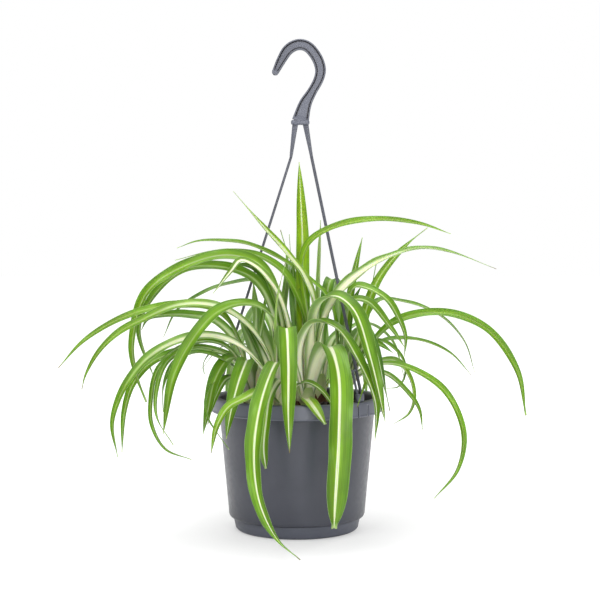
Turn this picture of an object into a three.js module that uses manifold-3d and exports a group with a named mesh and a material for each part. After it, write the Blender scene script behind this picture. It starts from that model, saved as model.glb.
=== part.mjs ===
// Potted spider plant: a slate-grey plastic hanging pot with its drip tray, its hook with two arms,
// soil, and six rosettes of arching, striped leaves. Millimetres, +Z up, front towards -Y.
// The origin is the centre of the drip tray's underside, which stands on the floor.
import * as THREE from 'three';
import { mergeVertices } from 'three/addons/utils/BufferGeometryUtils.js';
import Module from 'manifold-3d';

const wasm = await Module();
wasm.setup();

// ---- driving dimensions -------------------------------------------------------------------------

const GAP = 0.3; // clearance between pieces that rest on or in each other
const ROUND = 40; // facets round the pot

const TRAY = {
  footRadius: 50.5, footEdgeRadius: 53.6, footEdge: 0.8, // flat underside and its rounded edge
  lowRadius: 55.3, low: 2.4, rimRadius: 57.6, height: 12.2, wall: 1.6,
  floor: 2, floorRadius: 49.5, bowl: 3.4, // inside: flat floor, then the rise to the wall
};

const POT = {
  footInner: 44.5, footOuter: 47.5, // ring that stands on the tray's floor
  floorUnder: 7.5, floorTop: 10, floorEdgeRadius: 53.7, insideRadius: 52.6,
  base: 12.5, baseInner: 54.8, baseRadius: 60.1, // step just over the tray's rim
  sill: 14.6, shoulder: 14.5, shoulderRadius: 61.2, // inside of the step, and the bevel over it
  neck: 107.2, neckRadius: 70.2, ledgeRadius: 70.6, // where the wall meets the rim band
  rim: 120, rimRadius: 77.5, // the band is a skirt that hangs from a ledge
  skirt: 1.8, skirtEnd: 107, ledge: 2.6, lip: 1.2, wall: 1.9,
};
const DRAIN = { count: 5, radius: 3.5, circle: 28, sides: 12 };

const SOIL_WAVES = [[0.31, 0.13, 0.6], [-0.09, 0.37, 0.4]]; // radians per mm in x and y, share
const SOIL = { top: 111, bump: 1.1, calmEdge: 1, rings: 3, sectors: 22 };

// Hook: centre line (x, z) from its tip over the top to the foot bar, with the band's width there.
const HOOK_LINE = [
  [-19.5, 413.2, 6.2], [-13.5, 425, 8.6], [-8.4, 432.8, 9.6], [-2.3, 437, 9.8], [3.8, 438, 9.8],
  [9.7, 436, 9.8], [15.2, 430.4, 9.8], [19.8, 422.2, 9.8], [21.4, 414.2, 9.7], [19.4, 405.8, 9],
  [14, 395.8, 8.6], [7.6, 384.2, 11.5], [3.1, 368.6, 15.4],
];
const HOOK = {
  thick: 6, web: 2.6, rib: 1.7, steps: 26, noseSteps: 6,
  endsIn: [0.006, 0.012], // share of the line that the recess stays clear of, per mm of rib
};
const FOOT_BAR = { left: -5.4, right: 11.4, bottom: 365.2, height: 4.6, thick: 7 };
const LEG = { halfTop: 2.6, halfLow: 1.3, low: 336, thick: 3, sunk: 1 };
const STRAND = { width: 2.8, thick: 2.2, overlap: 2 };

// Each arm: x of its leg under the foot bar, the leg's x at its low end, and its bearing at the rim.
const ARMS = [
  { legTop: -1.5, legLow: -5.4, bearing: 170 },
  { legTop: 7.8, legLow: 13.3, bearing: -41 },
];
const CLIP = {
  circle: 73.1, slotWide: 6.4, slotDeep: 3.6, // slot through the rim's ledge, along and across the rim
  pegWide: 4.8, pegDeep: 2.2, pegEnd: 108, // peg that hangs through it
  barbHigh: 5, barbDeep: 3, // snap barb under the ledge
  blockWide: 9, blockDeep: 3, blockTop: 127, strandSunk: 3,
  stirrupWide: 7, stirrupTop: 147, bar: 1.8, // small frame beside the arm's lower end
};

// Crowns: where each rosette stands in the soil (x, y).
const CROWNS = {
  front_right: [8, -25],
  front_left: [-15, -32],
  left: [-42, 2],
  right: [40, -2],
  back_left: [-16, 32],
  back_right: [20, 34],
};
const CROWN = {
  root: 20, radius: 7.2, top: 15, cap: 1, sides: 10, clearance: 0.6,
  bottomShare: 0.7, bellyShare: 0.95, shoulderShare: 0.85, topShare: 0.45, // of the radius
};

const BLADE = {
  moreStations: 1, lastStep: 0.35, // stations along a leaf, over its points; size of the last step
  thick: 0.75, tipHalf: 0.5, keel: 0.2, rollBy: 0.4, twistBy: 0.75,
  baseShare: 0.5, baseWidth: 6, widestAt: 0.36, // width at the root, and where it is widest
  start: 4, startStep: 2.5, startLevels: 3, startOut: 2.2, // root: above the soil, and off the axis
};

const END_CAP = [[0, 5, 4], [0, 4, 1], [1, 4, 3], [1, 3, 2]]; // a ring's six corners, as triangles

// Leaves of each crown: width, roll in degrees (how far the upper face turns to the leaf's right;
// two values where a leaf twists: up to its crest, and past it), taper (2 draws out to a long point,
// 3 is fuller, 8 ends round), then the points that the midrib passes through, from low to its tip.
const LEAVES = {
  front_right: [
    [15, -40, 2.4, [15, -32, 206], [6, -38, 230], [-6, -43, 247], [-28, -50, 272], [-55, -60, 304]],
    [12.5, -20, 3.5, [6, -22, 170], [5, -20, 234], [5, -18, 266], [4, -16, 288], [2, -14, 331]],
    [16, 10, 4, [19, -40, 205], [34, -56, 214], [50, -68, 202], [64, -80, 160], [75, -88, 108]],
    [14, 10, 3.4, [3, -36, 165], [14, -46, 190], [34, -59, 187], [52, -76, 162], [67, -90, 125],
      [66, -94, 92]],
    [21, 0, 11, [20, -44, 159], [28, -62, 171], [36, -92, 150], [36, -110, 100], [31, -116, 23]],
    [11.5, 0, 6, [8, -62, 125], [12, -79, 123], [17, -89, 117], [24, -97, 107]],
    [10.5, -40, 2, [9, -26, 188], [-10, -22, 231], [-30, -20, 246], [-55, -19, 251],
      [-81, -18, 250], [-109, -17, 243]],
    [12, -35, 3.5, [-8, -38, 187], [-14, -41, 209], [-24, -44, 226], [-35, -46, 238],
      [-49, -48, 244], [-57, -50, 235], [-73, -52, 215]],
    [14, [42, 12], 2, [18, -33, 165], [25, -38, 195], [37, -44, 216], [55, -50, 233],
      [79, -53, 247], [107, -58, 255], [132, -61, 252], [172, -67, 237]],
    [8.5, 40, 4, [10, -27, 189], [4, -28, 240], [12, -31, 261], [38, -34, 275], [73, -37, 280],
      [108, -41, 276], [135, -45, 267]],
    [12, -60, 4, [4, -20, 167], [-1, -18, 203], [-4, -14, 242]],
  ],
  front_left: [
    [16, 0, 3, [-13, -42, 160], [-9, -62, 187], [-7, -84, 158], [-7, -93, 115], [-6, -97, 83]],
    [17, 0, 2, [-17, -58, 157], [-30, -90, 128], [-36, -110, 86], [-31, -125, 47], [-16, -142, 20],
      [3, -160, 7]],
    [8.2, 0, 14, [-14, -52, 140], [-23, -80, 128], [-26, -88, 108], [-28, -91, 86], [-26, -93, 69]],
    [4.5, 40, 2, [-18, -44, 163], [-17, -53, 209], [-10, -56, 242]],
    [9, -42, 3.5, [-24, -38, 158], [-44, -44, 188], [-69, -51, 204], [-102, -58, 206],
      [-134, -65, 193], [-154, -69, 182], [-170, -73, 166], [-181, -75, 146], [-184, -76, 134]],
    [10, -46, 3, [-30, -48, 150], [-50, -54, 170], [-75, -59, 179], [-103, -65, 175],
      [-128, -71, 161], [-147, -77, 137], [-157, -82, 107], [-152, -87, 78]],
    [11.5, -50, 4.5, [-12, -34, 182], [-31, -33, 238], [-54, -32, 248], [-83, -31, 245],
      [-132, -30, 217], [-146, -30, 170], [-142, -31, 142], [-133, -32, 118]],
    [11, -42, 4, [-15, -30, 170], [-34, -26, 223], [-58, -24, 236], [-95, -21, 237],
      [-124, -19, 217], [-141, -18, 183], [-127, -18, 136]],
    [12.5, [-24, -36], 4, [-18, -34, 176], [-25, -42, 198], [-44, -53, 207], [-69, -64, 200],
      [-89, -74, 178], [-105, -84, 146], [-113, -91, 98]],
    [9, -20, 3, [-30, -66, 132], [-44, -84, 128], [-58, -92, 121], [-67, -97, 106],
      [-72, -100, 83]],
    [8, 10, 2, [2, -48, 136], [11, -58, 138], [23, -70, 131], [36, -80, 112]],
    [13, -50, 3, [-15, -22, 177], [-22, -13, 216], [-37, -11, 236], [-57, -9, 240]],
    [9, -50, 3, [-26, -36, 151], [-36, -30, 173], [-47, -26, 189]],
  ],
  left: [
    [16, 0, 3, [-43, -28, 156], [-46, -48, 152], [-52, -68, 134], [-57, -80, 112], [-60, -83, 93]],
    [13, -10, 3, [-48, -14, 152], [-61, -36, 157], [-72, -50, 139], [-77, -58, 115],
      [-81, -62, 94]],
    [3.5, 0, 2, [-55, -20, 140], [-72, -48, 138], [-79, -64, 122], [-76, -68, 108], [-69, -70, 97],
      [-58, -72, 82]],
    [9, -45, 3.5, [-46, -6, 147], [-73, -15, 162], [-104, -21, 162], [-129, -25, 153],
      [-145, -26, 135], [-153, -27, 110], [-155, -30, 73]],
    [6, -40, 3, [-60, -16, 158], [-92, -35, 165], [-120, -47, 151], [-127, -53, 122],
      [-126, -56, 102], [-114, -60, 81], [-91, -63, 72]],
    [6.5, -40, 2, [-56, -20, 154], [-88, -44, 168], [-112, -60, 157], [-121, -66, 132],
      [-120, -70, 109], [-106, -72, 86]],
    [7.3, -45, 3.2, [-50, -6, 165], [-71, -34, 200], [-103, -44, 205], [-129, -52, 202],
      [-159, -60, 191], [-185, -66, 174], [-205, -70, 152]],
    [9.5, -50, 4, [-52, -5, 165], [-74, -9, 189], [-96, -9, 194], [-119, -9, 194], [-134, -9, 190],
      [-140, -9, 180]],
    [8, 0, 2, [-38, 0, 160], [-37, -4, 200], [-40, -6, 226]],
    [8, 0, 2, [-36, 8, 160], [-30, 14, 195], [-28, 16, 222]],
    [9, -10, 2, [-50, -24, 138], [-62, -44, 140], [-71, -56, 124], [-77, -62, 102]],
    [7, -30, 2, [-54, -29, 148], [-86, -50, 164], [-106, -62, 156], [-115, -67, 135],
      [-115, -69, 114]],
    [3.5, 0, 2, [-57, -6, 152], [-72, -26, 164], [-82, -42, 153], [-81, -46, 144]],
    [7, -40, 3, [-50, -18, 149], [-61, -30, 166], [-78, -40, 173], [-102, -46, 168],
      [-120, -50, 157]],
    [10, 30, 3, [-34, -14, 141], [-40, -20, 166], [-51, -24, 191]],
    [13, 30, 4, [-45, 4, 129], [-54, 3, 148], [-61, 0, 168]],
  ],
  right: [
    [8, -35, 3, [37, 0, 164], [30, 3, 206], [6, 4, 230], [-23, -6, 249], [-45, -12, 258],
      [-70, -16, 261], [-90, -19, 260], [-107, -22, 254]],
    [9, 60, 2.3, [54, 4, 161], [66, 11, 206], [74, 15, 224], [87, 19, 242], [103, 25, 258],
      [121, 30, 272]],
    [8, 30, 3, [42, 4, 160], [47, 10, 200], [54, 14, 237], [60, 18, 263]],
    [4.5, 40, 2, [55, 14, 175], [68, 21, 215], [73, 22, 239]],
    [10, 30, 4, [42, 0, 190], [52, -1, 219], [64, -5, 218], [81, -10, 208], [91, -14, 192],
      [97, -16, 175], [96, -18, 157]],
    [9.5, 30, 4, [42, -8, 180], [49, -14, 207], [63, -20, 207], [84, -28, 183], [95, -32, 167]],
    [8.3, 50, 5, [62, 4, 158], [88, -2, 187], [130, -7, 196], [170, -11, 182], [197, -15, 145],
      [205, -16, 104]],
    [6.5, 30, 3.5, [55, 8, 145], [77, 20, 167], [110, 28, 169], [142, 34, 156], [162, 36, 135]],
    [7.2, 45, 3, [54, -8, 140], [85, -20, 151], [127, -34, 132], [146, -42, 95], [141, -46, 61],
      [120, -50, 36]],
    [6.5, 30, 3, [56, -2, 150], [74, 0, 170], [93, -1, 158], [98, -3, 143], [92, -4, 129],
      [81, -4, 127]],
    [11, 20, 2.5, [60, -5, 145], [88, -10, 153], [101, -12, 139], [105, -14, 120], [100, -16, 106],
      [87, -18, 97]],
    [7, 20, 3, [58, -10, 140], [77, -20, 143], [97, -28, 128], [108, -33, 112], [111, -35, 94]],
    [10, 10, 2, [47, -18, 165], [58, -44, 186], [68, -60, 168], [75, -70, 138], [80, -74, 115]],
    [4.5, 0, 2, [54, -22, 142], [63, -48, 150], [52, -70, 118]],
    [8, 50, 3, [62, 0, 166], [73, -6, 168], [86, -12, 160]],
    [9, 50, 3, [44, 6, 165], [50, 11, 201], [59, 13, 219]],
  ],
  back_left: [
    [7.5, -20, 4, [-18, 31, 180], [-32, 28, 221], [-66, 22, 220], [-89, 17, 211], [-110, 14, 196],
      [-122, 12, 172]],
    [6, 20, 2, [-14, 28, 190], [-9, 20, 245], [-15, 15, 270]],
    [5.5, 20, 2, [-12, 30, 180], [-6, 24, 240], [-7, 22, 266]],
    [11, 0, 2, [-22, 55, 175], [-38, 95, 195], [-55, 135, 160], [-66, 155, 105]],
    [12, 0, 3, [-16, 60, 185], [-18, 105, 198], [-24, 145, 160], [-30, 168, 95]],
    [10, 0, 2, [-30, 50, 165], [-52, 85, 172], [-66, 112, 130], [-70, 125, 75]],
    [5, 0, 2, [-40, 40, 160], [-68, 42, 162], [-91, 44, 138]],
    [10, 60, 3, [-27, 30, 163], [-37, 22, 194], [-40, 18, 222]],
    [14, 60, 4, [-28, 28, 139], [-37, 22, 164], [-43, 16, 187]],
  ],
  back_right: [
    [6, 20, 4, [19, 33, 170], [20, 32, 225], [22, 30, 279]],
    [11, 0, 6, [24, 42, 180], [31, 55, 222], [38, 88, 215], [43, 120, 165], [46, 135, 110]],
    [12, 0, 2, [20, 60, 180], [22, 100, 190], [28, 140, 150], [32, 160, 85]],
    [10, 0, 2, [32, 50, 165], [50, 85, 172], [64, 112, 140], [70, 128, 85]],
    [8, 28, 4, [56, 26, 173], [75, 36, 204], [101, 43, 203], [134, 50, 190], [158, 57, 165],
      [168, 60, 135]],
    [8, 0, 2, [34, 44, 160], [62, 62, 182], [90, 78, 165], [104, 88, 125]],
  ],
};

// ---- solids -------------------------------------------------------------------------------------

/** A closed three.js geometry as a solid: shared corners merged, triangles that vanish left out. */
function solid(geometry) {
  const bare = geometry.clone();
  bare.deleteAttribute('normal');
  bare.deleteAttribute('uv');
  const merged = mergeVertices(bare, 1e-3);
  const corners = [];
  for (let i = 0; i < merged.index.count; i += 3) {
    const [a, b, c] = [merged.index.getX(i), merged.index.getX(i + 1), merged.index.getX(i + 2)];
    if (a !== b && b !== c && c !== a) corners.push(a, b, c);
  }
  const mesh = new wasm.Mesh({
    numProp: 3,
    vertProperties: merged.attributes.position.array,
    triVerts: new Uint32Array(corners),
  });
  return new wasm.Manifold(mesh);
}

/** A solid as a three.js geometry. */
function toGeometry(body) {
  const { vertProperties, triVerts } = body.getMesh();
  const geometry = new THREE.BufferGeometry();
  geometry.setAttribute('position', new THREE.BufferAttribute(vertProperties, 3));
  geometry.setIndex(new THREE.BufferAttribute(triVerts, 1));
  geometry.computeVertexNormals();
  return geometry;
}

/** A body of revolution about +Z, from a profile of [radius, height] points. */
function turned(profile, segments = ROUND) {
  const points = profile.map(([radius, height]) => new THREE.Vector2(radius, height));
  return new THREE.LatheGeometry(points, segments).rotateX(Math.PI / 2);
}

/** An upright plate: an outline of [x, z] points with its thickness centred on y = 0. */
function plate(outline, thick) {
  const shape = new THREE.Shape(outline.map(([x, z]) => new THREE.Vector2(x, z)));
  const geometry = new THREE.ExtrudeGeometry(shape, { depth: thick, bevelEnabled: false });
  return geometry.rotateX(Math.PI / 2).translate(0, thick / 2, 0);
}

/** A box on the clip's circle at a bearing: its width along the rim, its depth across, its heights. */
function rimBox(bearing, wide, deep, low, high) {
  const box = new THREE.BoxGeometry(deep, wide, high - low);
  box.translate(CLIP.circle, 0, (low + high) / 2);
  return box.rotateZ(THREE.MathUtils.degToRad(bearing));
}

/** A straight bar of rectangular section between two points. */
function bar(from, to, wide, thick) {
  const section = new THREE.Shape();
  section.moveTo(-thick / 2, -wide / 2);
  section.lineTo(thick / 2, -wide / 2);
  section.lineTo(thick / 2, wide / 2);
  section.lineTo(-thick / 2, wide / 2);
  section.closePath();
  const extrudePath = new THREE.LineCurve3(from, to);
  return new THREE.ExtrudeGeometry(section, { steps: 1, bevelEnabled: false, extrudePath });
}

// ---- pot, tray and soil -------------------------------------------------------------------------

function trayProfile() {
  const { footRadius, footEdgeRadius, footEdge, lowRadius, low, rimRadius, height } = TRAY;
  const { wall, floor, floorRadius, bowl } = TRAY;
  return [
    [0, 0], [footRadius, 0], [footEdgeRadius, footEdge], [lowRadius, low], [rimRadius, height],
    [rimRadius - wall, height], [lowRadius - wall, bowl], [floorRadius, floor], [0, floor],
  ];
}

/** Radius of the pot's outer wall at a height, by the straight slope from shoulder to neck. */
function wallRadius(height) {
  const share = (height - POT.shoulder) / (POT.neck - POT.shoulder);
  return THREE.MathUtils.lerp(POT.shoulderRadius, POT.neckRadius, share);
}

function potProfile() {
  const { footInner, footOuter, floorUnder, floorTop, floorEdgeRadius, insideRadius } = POT;
  const { base, baseInner, baseRadius, sill, shoulder, shoulderRadius } = POT;
  const { neck, neckRadius, ledgeRadius, rim, rimRadius, skirt, skirtEnd, ledge, lip, wall } = POT;
  const footEnd = TRAY.floor + GAP;
  const bandInner = rimRadius - skirt;
  const innerTop = wallRadius(rim) - wall;
  return [
    [0, floorUnder], [footInner, floorUnder], [footInner, footEnd], [footOuter, footEnd],
    [footOuter, floorUnder], [floorEdgeRadius, floorUnder], [baseInner, base], [baseRadius, base],
    [shoulderRadius, shoulder], [neckRadius, neck], [ledgeRadius, rim - ledge],
    [bandInner, rim - ledge], [bandInner, skirtEnd], [rimRadius, skirtEnd], [rimRadius, rim - lip],
    [rimRadius - lip, rim], [innerTop + lip, rim], [innerTop, rim - lip],
    [wallRadius(sill) - wall, sill], [baseInner - wall, sill], [insideRadius, floorTop], [0, floorTop],
  ];
}

function pot() {
  let body = solid(turned(potProfile()));
  for (let i = 0; i < DRAIN.count; i += 1) {
    const drill = new THREE.CylinderGeometry(DRAIN.radius, DRAIN.radius, POT.floorTop, DRAIN.sides);
    const angle = (i / DRAIN.count) * 2 * Math.PI;
    drill.rotateX(Math.PI / 2).translate(DRAIN.circle, 0, POT.floorTop).rotateZ(angle);
    body = body.subtract(solid(drill));
  }
  for (const { bearing } of ARMS) {
    const [low, high] = [POT.rim - 2 * POT.ledge, POT.rim + POT.lip];
    const slot = rimBox(bearing, CLIP.slotWide, CLIP.slotDeep, low, high);
    body = body.subtract(solid(slot));
  }
  return toGeometry(body);
}

/** Height of the soil's crumbly surface above its mean level: two crossing waves. */
function soilBump(x, y) {
  return SOIL.bump * SOIL_WAVES.reduce((sum, [alongX, alongY, share]) => (
    sum + share * Math.sin(x * alongX + y * alongY)), 0);
}

function soil() {
  const bottom = POT.floorTop + GAP;
  const topRadius = wallRadius(SOIL.top) - POT.wall - GAP;
  const { insideRadius, baseInner, sill, wall } = POT;
  const profile = [[0, bottom], [insideRadius - GAP, bottom], [baseInner - wall - GAP, sill + GAP]];
  profile.push([wallRadius(sill) - wall - GAP, sill + GAP]);
  for (let ring = 0; ring <= SOIL.rings; ring += 1) {
    profile.push([topRadius * (1 - ring / SOIL.rings), SOIL.top]);
  }
  const geometry = turned(profile, SOIL.sectors);
  const position = geometry.attributes.position;
  for (let i = 0; i < position.count; i += 1) {
    const [x, y, z] = [position.getX(i), position.getY(i), position.getZ(i)];
    const inside = Math.hypot(x, y) < topRadius - SOIL.calmEdge;
    if (z > SOIL.top - SOIL.bump && inside) position.setZ(i, z + soilBump(x, y));
  }
  let body = solid(geometry);
  const depth = CROWN.root + CROWN.top;
  const holeRadius = CROWN.radius + CROWN.clearance;
  for (const [x, y] of Object.values(CROWNS)) {
    const hole = new THREE.CylinderGeometry(holeRadius, holeRadius, depth, CROWN.sides);
    hole.rotateX(Math.PI / 2).translate(x, y, SOIL.top - CROWN.root - GAP + depth / 2);
    body = body.subtract(solid(hole));
  }
  return toGeometry(body);
}

// ---- hanger -------------------------------------------------------------------------------------

/** Outline of the hook's band, narrowed by inset on each side and shortened by it at the ends. */
function hookOutline(inset) {
  const points = HOOK_LINE.map(([x, z, width]) => new THREE.Vector3(x, width, z));
  const line = new THREE.CatmullRomCurve3(points);
  const [tipIn, footIn] = HOOK.endsIn.map((perMm) => inset * perMm);
  const left = [];
  const right = [];
  for (let i = 0; i <= HOOK.steps; i += 1) {
    const share = THREE.MathUtils.lerp(tipIn, 1 - footIn, i / HOOK.steps);
    const at = line.getPoint(share);
    const along = line.getTangent(share);
    const length = Math.hypot(along.x, along.z);
    const half = at.y / 2 - inset;
    const [nx, nz] = [(-along.z / length) * half, (along.x / length) * half];
    left.push([at.x + nx, at.z + nz]);
    right.push([at.x - nx, at.z - nz]);
  }
  const [[tipX, tipZ, tipWidth], [nextX, nextZ]] = HOOK_LINE;
  const radius = tipWidth / 2 - inset;
  const heading = Math.atan2(nextZ - tipZ, nextX - tipX);
  const nose = [];
  for (let i = 1; i < HOOK.noseSteps; i += 1) {
    const angle = heading + Math.PI * (1 / 2 + i / HOOK.noseSteps);
    nose.push([tipX + radius * Math.cos(angle), tipZ + radius * Math.sin(angle)]);
  }
  return [...left.reverse(), ...nose, ...right];
}

/** The hook: a band recessed on both faces inside a raised rib, on its foot bar. */
function hook() {
  const pocket = (HOOK.thick - HOOK.web) / 2;
  const pocketCentre = (HOOK.web + pocket) / 2;
  const recess = plate(hookOutline(HOOK.rib), pocket);
  const { left, right, bottom, height, thick } = FOOT_BAR;
  const foot = new THREE.BoxGeometry(right - left, thick, height);
  foot.translate((left + right) / 2, 0, bottom + height / 2);
  return solid(plate(hookOutline(0), HOOK.thick))
    .subtract(solid(recess.clone().translate(0, pocketCentre, 0)))
    .subtract(solid(recess.clone().translate(0, -pocketCentre, 0)))
    .add(solid(foot));
}

/** A tapered leg under the hook's foot bar. */
function leg({ legTop, legLow }) {
  const top = FOOT_BAR.bottom + LEG.sunk;
  return solid(plate([
    [legTop - LEG.halfTop, top], [legLow - LEG.halfLow, LEG.low],
    [legLow + LEG.halfLow, LEG.low], [legTop + LEG.halfTop, top],
  ], LEG.thick));
}

/** The strand from a leg down to its clip, with the small frame beside the strand's lower end. */
function strand({ legLow, bearing }) {
  const angle = THREE.MathUtils.degToRad(bearing);
  const along = new THREE.Vector3(Math.sin(angle), -Math.cos(angle), 0);
  const step = along.clone().multiplyScalar(CLIP.stirrupWide - CLIP.bar);
  const foot = new THREE.Vector3(Math.cos(angle), Math.sin(angle), 0).multiplyScalar(CLIP.circle);
  foot.setZ(CLIP.blockTop - CLIP.strandSunk).addScaledVector(step, -1 / 2);
  const knee = new THREE.Vector3(legLow, 0, LEG.low);
  const upward = knee.clone().sub(foot).normalize();
  const above = knee.clone().addScaledVector(upward, STRAND.overlap);
  const corner = foot.clone().lerp(knee, (CLIP.stirrupTop - foot.z) / (knee.z - foot.z));
  const far = corner.clone().add(step);
  const pastFar = far.clone().addScaledVector(along, CLIP.bar / 2);
  return solid(bar(above, foot, STRAND.width, STRAND.thick))
    .add(solid(bar(corner, pastFar, CLIP.bar, CLIP.bar)))
    .add(solid(bar(far, foot.clone().add(step), CLIP.bar, CLIP.bar)));
}

/** The clip: a block on the rim, and a peg through the rim's slot with a snap barb under the ledge. */
function clip({ bearing }) {
  const { blockWide, blockDeep, blockTop, pegWide, pegDeep, pegEnd, barbHigh, barbDeep } = CLIP;
  const blockUnder = POT.rim + GAP;
  const barbTop = POT.rim - POT.ledge - GAP;
  return solid(rimBox(bearing, blockWide, blockDeep, blockUnder, blockTop))
    .add(solid(rimBox(bearing, pegWide, pegDeep, pegEnd, blockTop)))
    .add(solid(rimBox(bearing, pegWide, barbDeep, barbTop - barbHigh, barbTop)));
}

function hanger() {
  let body = hook();
  for (const arm of ARMS) body = body.add(leg(arm)).add(strand(arm)).add(clip(arm));
  return toGeometry(body);
}

// ---- rosettes -----------------------------------------------------------------------------------

/** Half width of a blade at a share of its length: a sheathing base, widest low down, long taper. */
function halfWidth(width, taper, share) {
  const { baseShare, baseWidth, widestAt, tipHalf } = BLADE;
  const base = Math.min(1, Math.max(baseShare, baseWidth / width));
  const grow = THREE.MathUtils.smoothstep(share, 0, widestAt);
  const past = Math.max(0, (share - widestAt) / (1 - widestAt));
  const half = (width / 2) * THREE.MathUtils.lerp(base, 1, grow) * (1 - past ** taper);
  return Math.max(tipHalf, half);
}

/** How far a blade has rolled at a share of its length, in radians. */
function rollAt(roll, share) {
  const [early, late = early] = [roll].flat();
  const grow = THREE.MathUtils.smoothstep(share, 0, BLADE.rollBy);
  const twist = THREE.MathUtils.smoothstep(share, BLADE.rollBy, BLADE.twistBy);
  return THREE.MathUtils.degToRad(early * grow + (late - early) * twist);
}

/** The stations along a blade, as shares of its length, with one more close to its tip. */
function stations(count) {
  const shares = [];
  for (let i = 0; i < count; i += 1) shares.push(i / count);
  return [...shares, 1 - BLADE.lastStep / count, 1];
}

/** Where the midrib of a crown's leaf starts, on the side that it leans to. */
function rootPoint([x, y], [firstX, firstY], order) {
  const bearing = Math.atan2(firstY - y, firstX - x);
  return [
    x + BLADE.startOut * Math.cos(bearing),
    y + BLADE.startOut * Math.sin(bearing),
    SOIL.top + BLADE.start + BLADE.startStep * (order % BLADE.startLevels),
  ];
}

/** One leaf blade: a shallow channel that follows its midrib out of the crown. */
function blade([width, roll, taper, ...way], crown, order) {
  const points = [rootPoint(crown, way[0], order), ...way];
  const midrib = new THREE.CatmullRomCurve3(points.map((point) => new THREE.Vector3(...point)));
  const tip = way.at(-1);
  const right = new THREE.Vector3(tip[1] - crown[1], crown[0] - tip[0], 0).normalize();
  const rings = stations(way.length + BLADE.moreStations).map((share) => {
    const along = midrib.getTangentAt(share);
    right.addScaledVector(along, -right.dot(along)).normalize();
    const half = halfWidth(width, taper, share);
    const across = right.clone().applyAxisAngle(along, rollAt(roll, share)).multiplyScalar(half);
    const up = across.clone().cross(along).normalize();
    return bladeRing(midrib.getPointAt(share), across, up, half * BLADE.keel);
  });
  return ringSolid(rings);
}

/** Six corners round a blade's section: left edge, midrib and right edge above, then back below. */
function bladeRing(at, across, up, keel) {
  const middle = at.clone().addScaledVector(up, -keel);
  const left = at.clone().addScaledVector(up, keel).sub(across);
  const right = at.clone().addScaledVector(up, keel).add(across);
  const skin = up.clone().multiplyScalar(BLADE.thick / 2);
  const above = [left, middle, right].map((point) => point.clone().add(skin));
  const below = [right, middle, left].map((point) => point.clone().sub(skin));
  return [...above, ...below];
}

/** Closes a row of blade rings into a solid, its quads split alike above and below. */
function ringSolid(rings) {
  const size = rings[0].length;
  const last = (rings.length - 1) * size;
  const index = [];
  for (let here = 0; here < last; here += size) {
    for (let side = 0; side < size; side += 1) {
      const other = (side + 1) % size;
      const corners = [here + side, here + other, here + size + other, here + size + side];
      const [a, b, c, d] = corners;
      if (side < size / 2) index.push(a, b, c, a, c, d);
      else index.push(a, b, d, b, c, d);
    }
  }
  for (const [a, b, c] of END_CAP) {
    index.push(a, b, c);
    index.push(last + a, last + c, last + b);
  }
  const geometry = new THREE.BufferGeometry();
  const positions = rings.flat().flatMap((point) => point.toArray());
  geometry.setAttribute('position', new THREE.Float32BufferAttribute(positions, 3));
  geometry.setIndex(index);
  return solid(geometry);
}

/** The largest body of a solid, with no hollow that crossing leaves have sealed and no loose scrap. */
function outerBody(body) {
  const largestFirst = body.decompose().sort((a, b) => b.volume() - a.volume());
  return largestFirst[0];
}

/** A crown with its root stock in the soil and its leaves, as one body. */
function rosette(name) {
  const [x, y] = CROWNS[name];
  const { root, radius, top, cap, sides } = CROWN;
  const { bottomShare, bellyShare, shoulderShare, topShare } = CROWN;
  const profile = [
    [0, SOIL.top - root], [radius * bottomShare, SOIL.top - root],
    [radius * bellyShare, SOIL.top - root / 2], [radius, SOIL.top],
    [radius * shoulderShare, SOIL.top + top / 2], [radius * topShare, SOIL.top + top],
    [0, SOIL.top + top + cap],
  ];
  let body = solid(turned(profile, sides).translate(x, y, 0));
  LEAVES[name].forEach((leaf, order) => {
    body = body.add(blade(leaf, CROWNS[name], order));
  });
  return toGeometry(outerBody(body));
}

// ---- the whole object ---------------------------------------------------------------------------

const slate = { color: 0x565c66, roughness: 0.55, metalness: 0 };
const earth = { color: 0x2a1d15, roughness: 0.95, metalness: 0 };
const leafGreen = { color: 0x5f9632, roughness: 0.5, metalness: 0 };

const group = new THREE.Group();

function place(name, geometry, finish) {
  const mesh = new THREE.Mesh(geometry, new THREE.MeshStandardMaterial(finish));
  mesh.name = name;
  group.add(mesh);
}

place('drip_tray', turned(trayProfile()), slate);
place('pot', pot(), slate);
place('soil', soil(), earth);
place('hanger', hanger(), slate);
for (const name of Object.keys(CROWNS)) place(`rosette_${name}`, rosette(name), leafGreen);

export default group;
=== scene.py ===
"""A potted spider plant: a slate-grey hanging pot with its tray, soil and hooked hanger, and six
rosettes of arching leaves with a cream stripe. It is modelled in millimetres and made in metres,
with its front towards -Y."""

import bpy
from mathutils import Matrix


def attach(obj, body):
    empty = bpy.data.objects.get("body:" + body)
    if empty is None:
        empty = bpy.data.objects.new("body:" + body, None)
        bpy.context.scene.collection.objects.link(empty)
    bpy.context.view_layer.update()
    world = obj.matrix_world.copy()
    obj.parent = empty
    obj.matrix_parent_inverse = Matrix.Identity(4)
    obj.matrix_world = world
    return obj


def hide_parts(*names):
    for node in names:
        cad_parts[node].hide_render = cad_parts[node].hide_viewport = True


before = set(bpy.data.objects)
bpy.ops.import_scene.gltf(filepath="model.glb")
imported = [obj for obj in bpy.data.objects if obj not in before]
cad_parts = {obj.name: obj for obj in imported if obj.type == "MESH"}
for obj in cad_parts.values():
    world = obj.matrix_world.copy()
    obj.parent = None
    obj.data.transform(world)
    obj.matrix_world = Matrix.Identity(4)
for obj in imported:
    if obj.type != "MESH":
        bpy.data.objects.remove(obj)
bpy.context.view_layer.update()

import math

import bmesh
import bpy
import numpy as np
from mathutils import Vector, noise

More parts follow.
